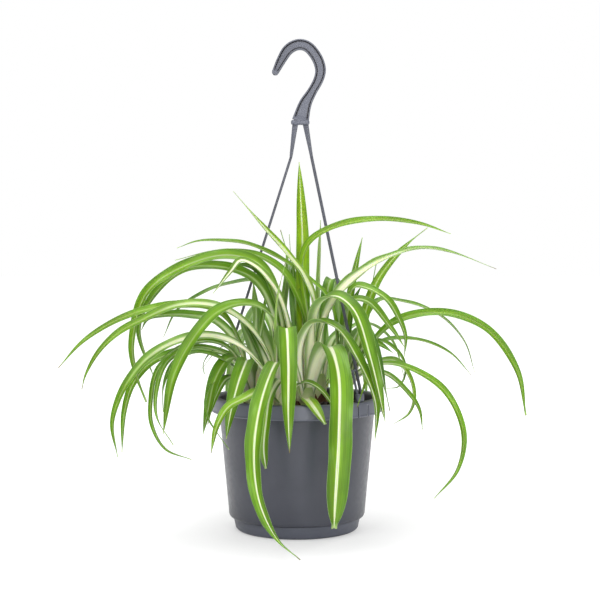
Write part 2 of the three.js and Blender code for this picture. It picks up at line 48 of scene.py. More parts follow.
bl_info = {
    "name": "Potted spider plant",
    "version": (1, 0, 0),
    "blender": (4, 5, 0),
    "location": "View3D > Sidebar > Plant",
    "description": "Builds a potted spider plant round its fixed frame",
    "category": "Object",
}

MM = 0.001
WELD, SLIVER = 2e-6, 1e-6  # metres under which points are joined and edges dropped
CREASE, SOFT_CREASE = 35, 60  # degrees over which an edge stays sharp, on plastic and on growth

# ---- driving dimensions, in millimetres ----------------------------------------------------------

GAP = 0.3  # clearance between pieces that rest on or in each other

# Section of the drip tray (radius, height), from under its middle over the rim to its own floor.
TRAY_PROFILE = [
    (0, 0), (50.5, 0), (53.6, 0.8), (55.3, 2.4), (57.4, 11.9), (55.8, 11.9), (53.7, 3.4),
    (49.5, 2), (0, 2),
]
TRAY_FILLET = 0.6
POT = {
    "foot": 2.3, "foot_inner": 44.5, "foot_outer": 47.5,  # ring that stands on the tray's floor
    "floor_under": 7.5, "floor": 10, "floor_radius": 53.7, "inside": 52.6,
    "step": 12.5, "step_inner": 54.8, "step_radius": 60.1, "sill": 14.6,  # over the tray's rim
    "shoulder": 14.5, "shoulder_radius": 61.2, "neck": 107.2, "neck_radius": 70.2,
    "neck_top": 70.6, "wall": 1.9,
}
RIM = {
    "top": 120, "radius": 77.5, "skirt": 1.8, "skirt_end": 107, "ledge": 2.6, "lip": 1.2,
    "lean": 0.2, "fillet": 0.7,
    "bead": [(-0.5, 0), (0, 0.6), (0, 1.6), (-0.35, 2.1)],  # out and up from the skirt's outer end
}
SLIT = {"set_in": 1, "deep": 6, "past_end": 2, "under_ledge": 0.5}
SOIL = {"top": 111, "mound": 1.2, "mound_pitch": 0.045, "lump": 0.9, "lump_pitch": 0.22}
CRUMB = {"size": 0.5, "spread": 1.5, "from_wall": 3, "proud": 0.3, "rough": 0.25}
CROWN = {
    "root": 20, "radius": 7.2, "top": 15, "cap": 1, "segments": 48, "ribs": 9, "rib": 0.05,
    "bottom_share": 0.7, "belly_share": 0.95, "shoulder_share": 0.85, "top_share": 0.45,
}

# Hook: centre line (x, z) from its tip over the top to the foot bar, with the band's width there.
HOOK_LINE = [
    (-19.5, 413.2, 6.2), (-13.5, 425, 8.6), (-8.4, 432.8, 9.6), (-2.3, 437, 9.8), (3.8, 438, 9.8),
    (9.7, 436, 9.8), (15.2, 430.4, 9.8), (19.8, 422.2, 9.8), (21.4, 414.2, 9.7), (19.4, 405.8, 9),
    (14, 395.8, 8.6), (7.6, 384.2, 11.5), (3.1, 368.6, 15.4),
]
HOOK = {"thick": 6, "web": 2.6, "rib": 1.7}
FOOT_BAR = {"left": -5.4, "right": 11.4, "bottom": 365.2, "height": 4.6, "thick": 7, "round": 1.6}
LEG = {
    "half_top": 2.6, "half_low": 1.3, "low": 336, "thick": 3, "round": 0.6, "shade": 0.3,
    "bands": 5, "bands_from": 0.14, "bands_to": 0.86, "band_high": 0.7, "band_proud": 0.3,
    "band_round": 0.25,
}
STRAND = {"width": 2.8, "thick": 2.2, "round": 0.8, "shade": 0.42}
ARMS = [{"top": -1.5, "low": -5.4, "bearing": 170}, {"top": 7.8, "low": 13.3, "bearing": -41}]
CLIP = {
    "circle": 73.1, "slot_wide": 6.4, "slot_deep": 3.6,
    "peg_wide": 4.8, "peg_deep": 2.2, "peg_end": 108, "barb_high": 5, "barb_deep": 3,
    "block_wide": 9, "block_deep": 3, "block_top": 127, "sunk": 3,
    "stirrup_wide": 7, "stirrup_top": 147, "bar": 1.8, "round": 0.5,
}

CROWNS = {
    "front_right": (8, -25),
    "front_left": (-15, -32),
    "left": (-42, 2),
    "right": (40, -2),
    "back_left": (-16, 32),
    "back_right": (20, 34),
}
BLADE = {
    "thick": 0.75, "keel": 0.2, "base_keel": 0.9, "roll_by": 0.4, "twist_by": 0.75,
    "base_share": 0.5, "base_width": 6, "widest_at": 0.36, "least_half": 0.4,
    "least_sections": 24, "crowding": 1.25, "pitch": 14, "wave_width": 6, "dry_share": 0.4,
    "start": 4, "start_step": 2.5, "start_levels": 3, "start_out": 2.2,
    "pointed": 2.5, "thread": 0.6, "thread_from": 0.8, "thread_by": 0.93,  # tips with a low taper
    "blunt": 4, "blunt_share": 0.12, "notch": 0.9,  # tips with a high taper
}

# Loose skins round each crown: their number, the turn between two and the half angle that one
# covers (radians), its radius and how much the next adds, then the least value and the spread of
# how far it flares and how high it stands, and how torn its top is.
SHEATH = {
    "count": 5, "turn": 2.4, "half_angle": 1.1, "radius": 6.6, "radius_step": 0.25,
    "flare": (1.5, 2.5), "height": (20, 14), "torn": 0.0,
}
SCALE = {
    "count": 4, "turn": 1.7, "half_angle": 0.9, "radius": 7.9, "radius_step": 0.2,
    "flare": (0, 1.2), "height": (9, 7), "torn": 0.9,
}
SKIN = {"columns": 11, "rows": 12, "half_thick": 0.3, "below": 3}

# Leaves of each crown: width, roll in degrees (one, or a pair for before and past the crest of a
# leaf that twists), taper (2 draws out to a point, 8 ends blunt), then the points that the midrib
# passes through, to its tip.
LEAVES = {
    "front_right": [
        [15, -40, 2.4, [15, -32, 206], [6, -38, 230], [-6, -43, 247], [-28, -50, 272],
         [-55, -60, 304]],
        [12.5, -20, 3.5, [6, -22, 170], [5, -20, 234], [5, -18, 266], [4, -16, 288], [2, -14, 331]],
        [16, 10, 4, [19, -40, 205], [34, -56, 214], [50, -68, 202], [64, -80, 160], [75, -88, 108]],
        [14, 10, 3.4, [3, -36, 165], [14, -46, 190], [34, -59, 187], [52, -76, 162], [67, -90, 125],
         [66, -94, 92]],
        [21, 0, 11, [20, -44, 159], [28, -62, 171], [36, -92, 150], [36, -110, 100],
         [31, -116, 23]],
        [11.5, 0, 6, [8, -62, 125], [12, -79, 123], [17, -89, 117], [24, -97, 107]],
        [10.5, -40, 2, [9, -26, 188], [-10, -22, 231], [-30, -20, 246], [-55, -19, 251],
         [-81, -18, 250], [-109, -17, 243]],
        [12, -35, 3.5, [-8, -38, 187], [-14, -41, 209], [-24, -44, 226], [-35, -46, 238],
         [-49, -48, 244], [-57, -50, 235], [-73, -52, 215]],
        [14, [42, 12], 2, [18, -33, 165], [25, -38, 195], [37, -44, 216], [55, -50, 233],
         [79, -53, 247], [107, -58, 255], [132, -61, 252], [172, -67, 237]],
        [8.5, 40, 4, [10, -27, 189], [4, -28, 240], [12, -31, 261], [38, -34, 275], [73, -37, 280],
         [108, -41, 276], [135, -45, 267]],
        [12, -60, 4, [4, -20, 167], [-1, -18, 203], [-4, -14, 242]],
    ],
    "front_left": [
        [16, 0, 3, [-13, -42, 160], [-9, -62, 187], [-7, -84, 158], [-7, -93, 115], [-6, -97, 83]],
        [17, 0, 2, [-17, -58, 157], [-30, -90, 128], [-36, -110, 86], [-31, -125, 47],
         [-16, -142, 20], [3, -160, 7]],
        [8.2, 0, 14, [-14, -52, 140], [-23, -80, 128], [-26, -88, 108], [-28, -91, 86],
         [-26, -93, 69]],
        [4.5, 40, 2, [-18, -44, 163], [-17, -53, 209], [-10, -56, 242]],
        [9, -42, 3.5, [-24, -38, 158], [-44, -44, 188], [-69, -51, 204], [-102, -58, 206],
         [-134, -65, 193], [-154, -69, 182], [-170, -73, 166], [-181, -75, 146], [-184, -76, 134]],
        [10, -46, 3, [-30, -48, 150], [-50, -54, 170], [-75, -59, 179], [-103, -65, 175],
         [-128, -71, 161], [-147, -77, 137], [-157, -82, 107], [-152, -87, 78]],
        [11.5, -50, 4.5, [-12, -34, 182], [-31, -33, 238], [-54, -32, 248], [-83, -31, 245],
         [-132, -30, 217], [-146, -30, 170], [-142, -31, 142], [-133, -32, 118]],
        [11, -42, 4, [-15, -30, 170], [-34, -26, 223], [-58, -24, 236], [-95, -21, 237],
         [-124, -19, 217], [-141, -18, 183], [-127, -18, 136]],
        [12.5, [-24, -36], 4, [-18, -34, 176], [-25, -42, 198], [-44, -53, 207], [-69, -64, 200],
         [-89, -74, 178], [-105, -84, 146], [-113, -91, 98]],
        [9, -20, 3, [-30, -66, 132], [-44, -84, 128], [-58, -92, 121], [-67, -97, 106],
         [-72, -100, 83]],
        [8, 10, 2, [2, -48, 136], [11, -58, 138], [23, -70, 131], [36, -80, 112]],
        [13, -50, 3, [-15, -22, 177], [-22, -13, 216], [-37, -11, 236], [-57, -9, 240]],
        [9, -50, 3, [-26, -36, 151], [-36, -30, 173], [-47, -26, 189]],
    ],
    "left": [
        [16, 0, 3, [-43, -28, 156], [-46, -48, 152], [-52, -68, 134], [-57, -80, 112],
         [-60, -83, 93]],
        [13, -10, 3, [-48, -14, 152], [-61, -36, 157], [-72, -50, 139], [-77, -58, 115],
         [-81, -62, 94]],
        [3.5, 0, 2, [-55, -20, 140], [-72, -48, 138], [-79, -64, 122], [-76, -68, 108],
         [-69, -70, 97], [-58, -72, 82]],
        [9, -45, 3.5, [-46, -6, 147], [-73, -15, 162], [-104, -21, 162], [-129, -25, 153],
         [-145, -26, 135], [-153, -27, 110], [-155, -30, 73]],
        [6, -40, 3, [-60, -16, 158], [-92, -35, 165], [-120, -47, 151], [-127, -53, 122],
         [-126, -56, 102], [-114, -60, 81], [-91, -63, 72]],
        [6.5, -40, 2, [-56, -20, 154], [-88, -44, 168], [-112, -60, 157], [-121, -66, 132],
         [-120, -70, 109], [-106, -72, 86]],
        [7.3, -45, 3.2, [-50, -6, 165], [-71, -34, 200], [-103, -44, 205], [-129, -52, 202],
         [-159, -60, 191], [-185, -66, 174], [-205, -70, 152]],
        [9.5, -50, 4, [-52, -5, 165], [-74, -9, 189], [-96, -9, 194], [-119, -9, 194],
         [-134, -9, 190], [-140, -9, 180]],
        [8, 0, 2, [-38, 0, 160], [-37, -4, 200], [-40, -6, 226]],
        [8, 0, 2, [-36, 8, 160], [-30, 14, 195], [-28, 16, 222]],
        [9, -10, 2, [-50, -24, 138], [-62, -44, 140], [-71, -56, 124], [-77, -62, 102]],
        [7, -30, 2, [-54, -29, 148], [-86, -50, 164], [-106, -62, 156], [-115, -67, 135],
         [-115, -69, 114]],
        [3.5, 0, 2, [-57, -6, 152], [-72, -26, 164], [-82, -42, 153], [-81, -46, 144]],
        [7, -40, 3, [-50, -18, 149], [-61, -30, 166], [-78, -40, 173], [-102, -46, 168],
         [-120, -50, 157]],
        [10, 30, 3, [-34, -14, 141], [-40, -20, 166], [-51, -24, 191]],
        [13, 30, 4, [-45, 4, 129], [-54, 3, 148], [-61, 0, 168]],
    ],
    "right": [
        [8, -35, 3, [37, 0, 164], [30, 3, 206], [6, 4, 230], [-23, -6, 249], [-45, -12, 258],
         [-70, -16, 261], [-90, -19, 260], [-107, -22, 254]],
        [9, 60, 2.3, [54, 4, 161], [66, 11, 206], [74, 15, 224], [87, 19, 242], [103, 25, 258],
         [121, 30, 272]],
        [8, 30, 3, [42, 4, 160], [47, 10, 200], [54, 14, 237], [60, 18, 263]],
        [4.5, 40, 2, [55, 14, 175], [68, 21, 215], [73, 22, 239]],
        [10, 30, 4, [42, 0, 190], [52, -1, 219], [64, -5, 218], [81, -10, 208], [91, -14, 192],
         [97, -16, 175], [96, -18, 157]],
        [9.5, 30, 4, [42, -8, 180], [49, -14, 207], [63, -20, 207], [84, -28, 183], [95, -32, 167]],
        [8.3, 50, 5, [62, 4, 158], [88, -2, 187], [130, -7, 196], [170, -11, 182], [197, -15, 145],
         [205, -16, 104]],
        [6.5, 30, 3.5, [55, 8, 145], [77, 20, 167], [110, 28, 169], [142, 34, 156], [162, 36, 135]],
        [7.2, 45, 3, [54, -8, 140], [85, -20, 151], [127, -34, 132], [146, -42, 95], [141, -46, 61],
         [120, -50, 36]],
        [6.5, 30, 3, [56, -2, 150], [74, 0, 170], [93, -1, 158], [98, -3, 143], [92, -4, 129],
         [81, -4, 127]],
        [11, 20, 2.5, [60, -5, 145], [88, -10, 153], [101, -12, 139], [105, -14, 120],
         [100, -16, 106], [87, -18, 97]],
        [7, 20, 3, [58, -10, 140], [77, -20, 143], [97, -28, 128], [108, -33, 112], [111, -35, 94]],
        [10, 10, 2, [47, -18, 165], [58, -44, 186], [68, -60, 168], [75, -70, 138], [80, -74, 115]],
        [4.5, 0, 2, [54, -22, 142], [63, -48, 150], [52, -70, 118]],
        [8, 50, 3, [62, 0, 166], [73, -6, 168], [86, -12, 160]],
        [9, 50, 3, [44, 6, 165], [50, 11, 201], [59, 13, 219]],
    ],
    "back_left": [
        [7.5, -20, 4, [-18, 31, 180], [-32, 28, 221], [-66, 22, 220], [-89, 17, 211],
         [-110, 14, 196], [-122, 12, 172]],
        [6, 20, 2, [-14, 28, 190], [-9, 20, 245], [-15, 15, 270]],
        [5.5, 20, 2, [-12, 30, 180], [-6, 24, 240], [-7, 22, 266]],
        [11, 0, 2, [-22, 55, 175], [-38, 95, 195], [-55, 135, 160], [-66, 155, 105]],
        [12, 0, 3, [-16, 60, 185], [-18, 105, 198], [-24, 145, 160], [-30, 168, 95]],
        [10, 0, 2, [-30, 50, 165], [-52, 85, 172], [-66, 112, 130], [-70, 125, 75]],
        [5, 0, 2, [-40, 40, 160], [-68, 42, 162], [-91, 44, 138]],
        [10, 60, 3, [-27, 30, 163], [-37, 22, 194], [-40, 18, 222]],
        [14, 60, 4, [-28, 28, 139], [-37, 22, 164], [-43, 16, 187]],
    ],
    "back_right": [
        [6, 20, 4, [19, 33, 170], [20, 32, 225], [22, 30, 279]],
        [11, 0, 6, [24, 42, 180], [31, 55, 222], [38, 88, 215], [43, 120, 165], [46, 135, 110]],
        [12, 0, 2, [20, 60, 180], [22, 100, 190], [28, 140, 150], [32, 160, 85]],
        [10, 0, 2, [32, 50, 165], [50, 85, 172], [64, 112, 140], [70, 128, 85]],
        [8, 28, 4, [56, 26, 173], [75, 36, 204], [101, 43, 203], [134, 50, 190], [158, 57, 165],
         [168, 60, 135]],
        [8, 0, 2, [34, 44, 160], [62, 62, 182], [90, 78, 165], [104, 88, 125]],
    ],
}

# How each leaf looks, in the same order: its painted light and shade (-1 painted shade, dark and
# bluish, +1 painted sunlight, yellowish), the cream stripe's share of the half width, how clearly
# it shows, and how far the pale base reaches.
LOOKS = {
    "front_right": [
        (0.7, 0.42, 0.55, 200), (1.0, 0.12, 0.7, 80), (-0.2, 0.12, 1, 130), (-0.2, 0.12, 1, 110),
        (0.1, 0.13, 1, 100), (0.6, 0.3, 0.7, 55), (0.1, 0.1, 0.15, 90), (0.3, 0.3, 0.95, 200),
        (0.1, 0.12, 0.1, 260), (0.4, 0.12, 0.1, 120), (-0.4, 0.12, 0.3, 80),
    ],
    "front_left": [
        (-0.1, 0.13, 1, 50), (0.05, 0.12, 1, 70), (0.0, 0.16, 0.8, 70), (0.8, 0.3, 0.4, 80),
        (0.3, 0.14, 0.15, 200), (0.0, 0.14, 0.15, 200), (0.2, 0.12, 0.25, 140),
        (-0.1, 0.12, 0.2, 140), (0.0, 0.14, 0.12, 120), (0.4, 0.14, 0.35, 70),
        (0.1, 0.14, 0.85, 45), (-0.5, 0.12, 0.1, 70), (-0.7, 0.12, 0.2, 70),
    ],
    "left": [
        (-0.2, 0.1, 0.9, 50), (-0.3, 0.12, 0.3, 70), (-0.5, 0.1, 0.2, 50), (-0.1, 0.14, 0.3, 80),
        (-0.2, 0.14, 0.3, 90), (-0.3, 0.14, 0.3, 90), (0.3, 0.12, 0.15, 90),
        (-0.3, 0.14, 0.25, 110), (-0.2, 0.14, 0.3, 90), (-0.1, 0.14, 0.3, 90),
        (-0.2, 0.12, 0.6, 70), (-0.6, 0.12, 0.15, 70), (-0.5, 0.1, 0.2, 50), (-0.5, 0.14, 0.4, 80),
        (-0.8, 0.12, 0.2, 70), (-0.6, 0.12, 0.3, 70),
    ],
    "right": [
        (0.1, 0.12, 0.15, 80), (0.5, 0.12, 0.45, 80), (0.3, 0.14, 0.45, 80), (-0.3, 0.1, 0.4, 70),
        (0.0, 0.12, 0.5, 80), (-0.1, 0.12, 0.4, 80), (0.2, 0.12, 0.1, 90), (-0.3, 0.1, 0.1, 80),
        (0.2, 0.12, 0.15, 80), (-0.3, 0.12, 0.15, 70), (0.3, 0.14, 0.4, 80), (-0.2, 0.14, 0.15, 80),
        (-0.7, 0.12, 0.7, 50), (0.5, 0.1, 0.1, 70), (-0.3, 0.12, 0.2, 70), (-0.6, 0.12, 0.2, 70),
    ],
    "back_left": [
        (-0.6, 0.12, 0.1, 90), (0.3, 0.2, 0.3, 80), (0.2, 0.2, 0.3, 80), (-0.1, 0.16, 0.3, 110),
        (-0.1, 0.16, 0.3, 110), (-0.1, 0.16, 0.3, 110), (-0.5, 0.12, 0.2, 70), (0.3, 0.12, 0.3, 80),
        (-0.6, 0.12, 0.3, 80),
    ],
    "back_right": [
        (0.5, 0.2, 0.45, 90), (-0.4, 0.16, 0.25, 80), (-0.1, 0.16, 0.3, 90), (0.0, 0.16, 0.3, 90),
        (-0.3, 0.12, 0.1, 80), (0.0, 0.16, 0.3, 90),
    ],
}


# ---- shapes --------------------------------------------------------------------------------------


def smoothstep(value, low, high):
    share = np.clip((np.asarray(value, float) - low) / (high - low), 0, 1)
    return share * share * (3 - 2 * share)


def lerp(start, end, share):
    return start + (end - start) * share


def unit(vector):
    return vector / np.linalg.norm(vector)


def wall_radius(height):
    """Radius of the pot's outer wall, by its straight slope from shoulder to neck."""
    share = (height - POT["shoulder"]) / (POT["neck"] - POT["shoulder"])
    return lerp(POT["shoulder_radius"], POT["neck_radius"], share)


def round_angles(count):
    return np.arange(count) * 2 * math.pi / count


def arc(centre, radius, angles, height):
    """Points round a centre (x, y); the radius and the height may change from angle to angle."""
    return np.stack([centre[0] + radius * np.cos(angles), centre[1] + radius * np.sin(angles),
                     np.broadcast_to(height, angles.shape)], axis=1)


class Curve:
    """A centripetal Catmull-Rom curve through points, sampled by its parameter or by its length."""

    DIVISIONS = 200
    STEP = 1e-4

    def __init__(self, points):
        inner = np.array(points, float)
        self.last = len(inner) - 1
        self.points = np.vstack([2 * inner[0] - inner[1], inner, 2 * inner[-1] - inner[-2]])
        self.parameters = np.linspace(0, 1, self.DIVISIONS + 1)
        legs = np.linalg.norm(np.diff(self.point(self.parameters), axis=0), axis=1)
        self.lengths = np.concatenate([[0], np.cumsum(legs)])

    def point(self, parameter):
        place = np.clip(np.asarray(parameter, float), 0, 1) * self.last
        index = np.minimum(place.astype(int), self.last - 1)
        share = (place - index)[:, None]
        before, start, end, after = (self.points[index + step] for step in range(4))
        first, middle, third = (
            np.maximum(((b - a) ** 2).sum(1, keepdims=True) ** 0.25, self.STEP)
            for a, b in ((before, start), (start, end), (end, after))
        )
        leave = middle * (
            (start - before) / first - (end - before) / (first + middle) + (end - start) / middle
        )
        arrive = middle * (
            (end - start) / middle - (after - start) / (middle + third) + (after - end) / third
        )
        squared = -3 * start + 3 * end - 2 * leave - arrive
        cubed = 2 * start - 2 * end + leave + arrive
        return start + leave * share + squared * share**2 + cubed * share**3

    def parameter_at(self, share):
        return np.interp(np.asarray(share, float) * self.lengths[-1], self.lengths, self.parameters)

    def tangent(self, parameter):
        low, high = np.clip(parameter - self.STEP, 0, 1), np.clip(parameter + self.STEP, 0, 1)
        along = self.point(high) - self.point(low)
        return along / np.linalg.norm(along, axis=1, keepdims=True)


class Shape:
    """Vertices in millimetres, faces and named values per vertex, gathered into one mesh."""

    def __init__(self, **layers):
        self.points, self.faces = [], []
        self.defaults = layers
        self.layers = {name: [] for name in layers}

    def add(self, points, faces, **values):
        first = len(self.points)
        self.points.extend(map(tuple, points))
        self.faces.extend([tuple(first + corner for corner in face) for face in faces])
        for name, default in self.defaults.items():
            given = np.broadcast_to(values.get(name, default), len(points))
            self.layers[name].extend(given.astype(float).tolist())

    def skin(self, rings, caps=True, **values):
        """Closes a row of equal rings into a tube, with an end cap on each end ring."""
        rings = np.asarray(rings, float)
        count, size = rings.shape[:2]
        faces = [
            (ring * size + side, ring * size + (side + 1) % size,
             (ring + 1) * size + (side + 1) % size, (ring + 1) * size + side)
            for ring in range(count - 1) for side in range(size)
        ]
        if caps:
            faces += [tuple(reversed(range(size))), tuple(range((count - 1) * size, count * size))]
        for name, value in values.items():
            values[name] = np.broadcast_to(value, (count, size)).ravel()
        self.add(rings.reshape(-1, 3), faces, **values)

    def turn(self, profile, segments):
        """Turns a profile of (radius, height) about the upright axis."""
        angles = round_angles(segments)
        self.skin([arc((0, 0), radius, angles, height) for radius, height in profile], caps=False)

    def build(self, name, material, sharp=CREASE):
        mesh = bpy.data.meshes.new(name)
        points = [tuple(MM * value for value in point) for point in self.points]
        mesh.from_pydata(points, [], self.faces)
        for layer, values in self.layers.items():
            mesh.attributes.new(layer, "FLOAT", "POINT").data.foreach_set("value", values)
        sheet = bmesh.new()
        sheet.from_mesh(mesh)
        bmesh.ops.remove_doubles(sheet, verts=sheet.verts, dist=WELD)
        bmesh.ops.dissolve_degenerate(sheet, edges=sheet.edges, dist=SLIVER)
        bmesh.ops.recalc_face_normals(sheet, faces=sheet.faces)
        sheet.to_mesh(mesh)
        sheet.free()
        mesh.shade_smooth()
        mesh.set_sharp_from_angle(angle=math.radians(sharp))
        mesh.materials.append(material)
        return link(name, mesh)


def filleted(profile, radius, steps=4):
    """Rounds each inner corner of an open profile."""
    points = [np.array(point, float) for point in profile]
    rounded = [points[0]]
    for before, corner, after in zip(points, points[1:], points[2:]):
        back, on = before - corner, after - corner
        reach = min(radius, 0.45 * np.linalg.norm(back), 0.45 * np.linalg.norm(on))
        start, end = corner + unit(back) * reach, corner + unit(on) * reach
        for share in np.linspace(0, 1, steps + 1):
            rounded.append(lerp(lerp(start, corner, share), lerp(corner, end, share), share))
    return [*rounded, points[-1]]


def rounded_section(wide, thick, radius, steps=3):
    """A closed outline, wide by thick, with rounded corners."""
    outline = []
    for turn, (x_sign, y_sign) in enumerate(((1, 1), (-1, 1), (-1, -1), (1, -1))):
        centre = np.array([x_sign * (wide / 2 - radius), y_sign * (thick / 2 - radius)])
        for step in range(steps + 1):
            angle = (turn + step / steps) * math.pi / 2
            outline.append(centre + radius * np.array([math.cos(angle), math.sin(angle)]))
    return np.array(outline)


def rounded_bar(shape, start, end, section_start, section_end, across, radius=CLIP["round"],
                **values):
    """A straight bar between two points, its ends eased; across is the direction of its width."""
    start, end = np.array(start, float), np.array(end, float)
    along = unit(end - start)
    right = np.array(across, float)
    right = unit(right - along * right.dot(along))
    up = np.cross(along, right)
    length = np.linalg.norm(end - start)
    rings = []
    eased = ((radius, 0), (radius * 0.3, radius * 0.3), (0, radius))
    for inset, distance in (*eased, *((inset, length - at) for inset, at in reversed(eased))):
        share = distance / length
        wide, thick = lerp(np.array(section_start), np.array(section_end), share)
        outline = rounded_section(wide - 2 * inset, thick - 2 * inset, max(radius - inset, 0.05))
        centre = start + along * distance
        rings.append([centre + right * x + up * y for x, y in outline])
    shape.skin(rings, **values)


# ---- materials -----------------------------------------------------------------------------------

# Values that each vertex of a leaf carries, those of the sheaths and scales, which need fewer, and
# those that the streaks along all of them follow.
LEAF_VALUES = (
    "across", "run", "along", "seed", "tone", "stripe", "shows", "pale", "under", "dry",
)
SKIN_VALUES = ("across", "run", "along", "seed")
STREAK_VALUES = ("across", "run", "seed")


class Graph:
    """Adds nodes to a node tree, left to right in rows, and wires them."""

    COLUMNS, PITCH = 8, 240

    def __init__(self, tree):
        self.tree = tree
        self.made = 0

    def add(self, kind, sockets=None, **settings):
        made = self.tree.nodes.new(kind)
        row, column = divmod(self.made, self.COLUMNS)
        made.location = (column * self.PITCH, -row * self.PITCH)
        self.made += 1
        for name, value in settings.items():
            setattr(made, name, value)
        for key, value in (sockets or {}).items():
            if isinstance(value, bpy.types.NodeSocket):
                self.tree.links.new(value, made.inputs[key])
            else:
                made.inputs[key].default_value = value
        return made

    def math(self, operation, first, second=0.0):
        sockets = {0: first, 1: second}
        return self.add("ShaderNodeMath", sockets, operation=operation).outputs[0]

    def times(self, first, second):
        return self.math("MULTIPLY", first, second)

    def mix(self, share, first, second, blend="MIX"):
        sockets = {0: share, 6: first, 7: second}
        return self.add("ShaderNodeMix", sockets, data_type="RGBA", blend_type=blend).outputs[2]

    def shaded(self, painted, value):
        """A colour times a value."""
        return self.mix(1.0, painted, self.vector(value, value, value), "MULTIPLY")

    def step(self, value, low, high, start=0.0, end=1.0):
        """start below low, end above high, and a smooth step between."""
        sockets = {"Value": value, "From Min": low, "From Max": high,
                   "To Min": start, "To Max": end}
        return self.add("ShaderNodeMapRange", sockets, interpolation_type="SMOOTHSTEP").outputs[0]

    def noise(self, vector, scale, detail=2.0, roughness=0.5):
        sockets = {"Vector": vector, "Scale": scale, "Detail": detail, "Roughness": roughness}
        return self.add("ShaderNodeTexNoise", sockets).outputs[0]

    def vector(self, x, y, z):
        return self.add("ShaderNodeCombineXYZ", {0: x, 1: y, 2: z}).outputs[0]

    def value(self, name):
        return self.add("ShaderNodeAttribute", attribute_name=name).outputs["Fac"]

    def place(self):
        return self.add("ShaderNodeTexCoord").outputs["Object"]

    def distance(self, place):
        return self.add("ShaderNodeVectorMath", {0: place}, operation="LENGTH").outputs["Value"]


def group(name, inputs, outputs, wire):
    """A shader node group; wire(graph, inputs) returns its outputs in order."""
    tree = bpy.data.node_groups.new(name, "ShaderNodeTree")
    for socket, kind in inputs:
        tree.interface.new_socket(socket, in_out="INPUT", socket_type=kind)
    for socket, kind in outputs:
        tree.interface.new_socket(socket, in_out="OUTPUT", socket_type=kind)
    graph = Graph(tree)
    entry = graph.add("NodeGroupInput")
    results = wire(graph, entry.outputs)
    graph.add("NodeGroupOutput", dict(enumerate(results)))
    return tree


def floats(*names):
    return [(name, "NodeSocketFloat") for name in names]


def use(graph, tree, sockets):
    return graph.add("ShaderNodeGroup", sockets, node_tree=tree).outputs


def material(name, wire, **constants):
    """A Principled material: wire(graph) returns its linked sockets, and the constants are set on
    the shader itself."""
    made = bpy.data.materials.new(name)
    made.use_nodes = True
    made.node_tree.nodes.clear()
    graph = Graph(made.node_tree)
    shader = graph.add("ShaderNodeBsdfPrincipled", wire(graph))
    for socket, value in constants.items():
        shader.inputs[socket.replace("_", " ")].default_value = value
    graph.add("ShaderNodeOutputMaterial", {"Surface": shader.outputs[0]})
    return made


def bump(graph, height, strength, distance):
    sockets = {"Height": height, "Strength": strength, "Distance": distance}
    return graph.add("ShaderNodeBump", sockets).outputs[0]


def colour(red, green, blue):
    """A colour from its 0-255 screen values."""
    channels = [value / 255 for value in (red, green, blue)]
    return (*[c / 12.92 if c <= 0.04045 else ((c + 0.055) / 1.055) ** 2.4 for c in channels], 1.0)


def streaks_group():
    """Streaks that run along a blade: fine veins, broad soft bands and patches, each 0 to 1."""
    def wire(graph, given):
        shift = graph.times(given["Seed"], 37.0)

        def streaks(across, run, detail):
            place = graph.vector(graph.times(given["Across"], across),
                                 graph.times(given["Run"], run), shift)
            return graph.noise(place, 1.0, detail)

        return streaks(19.0, 9.0, 1.0), streaks(4.5, 14.0, 2.0), streaks(1.0, 28.0, 2.0)

    inputs = floats(*(name.title() for name in STREAK_VALUES))
    return group("BladeStreaks", inputs, floats("Fine", "Broad", "Patch"), wire)


def grain_group():
    """Fine moulded grain, a broad cloudiness and specks between the two, each 0 to 1."""
    def wire(graph, given):
        place = given["Place"]
        return (graph.noise(place, 1500.0, 3.0, 0.6), graph.noise(place, 22.0, 3.0),
                graph.noise(place, 260.0, 2.0))

    inputs = [("Place", "NodeSocketVector")]
    return group("MouldedGrain", inputs, floats("Grain", "Cloud", "Speck"), wire)


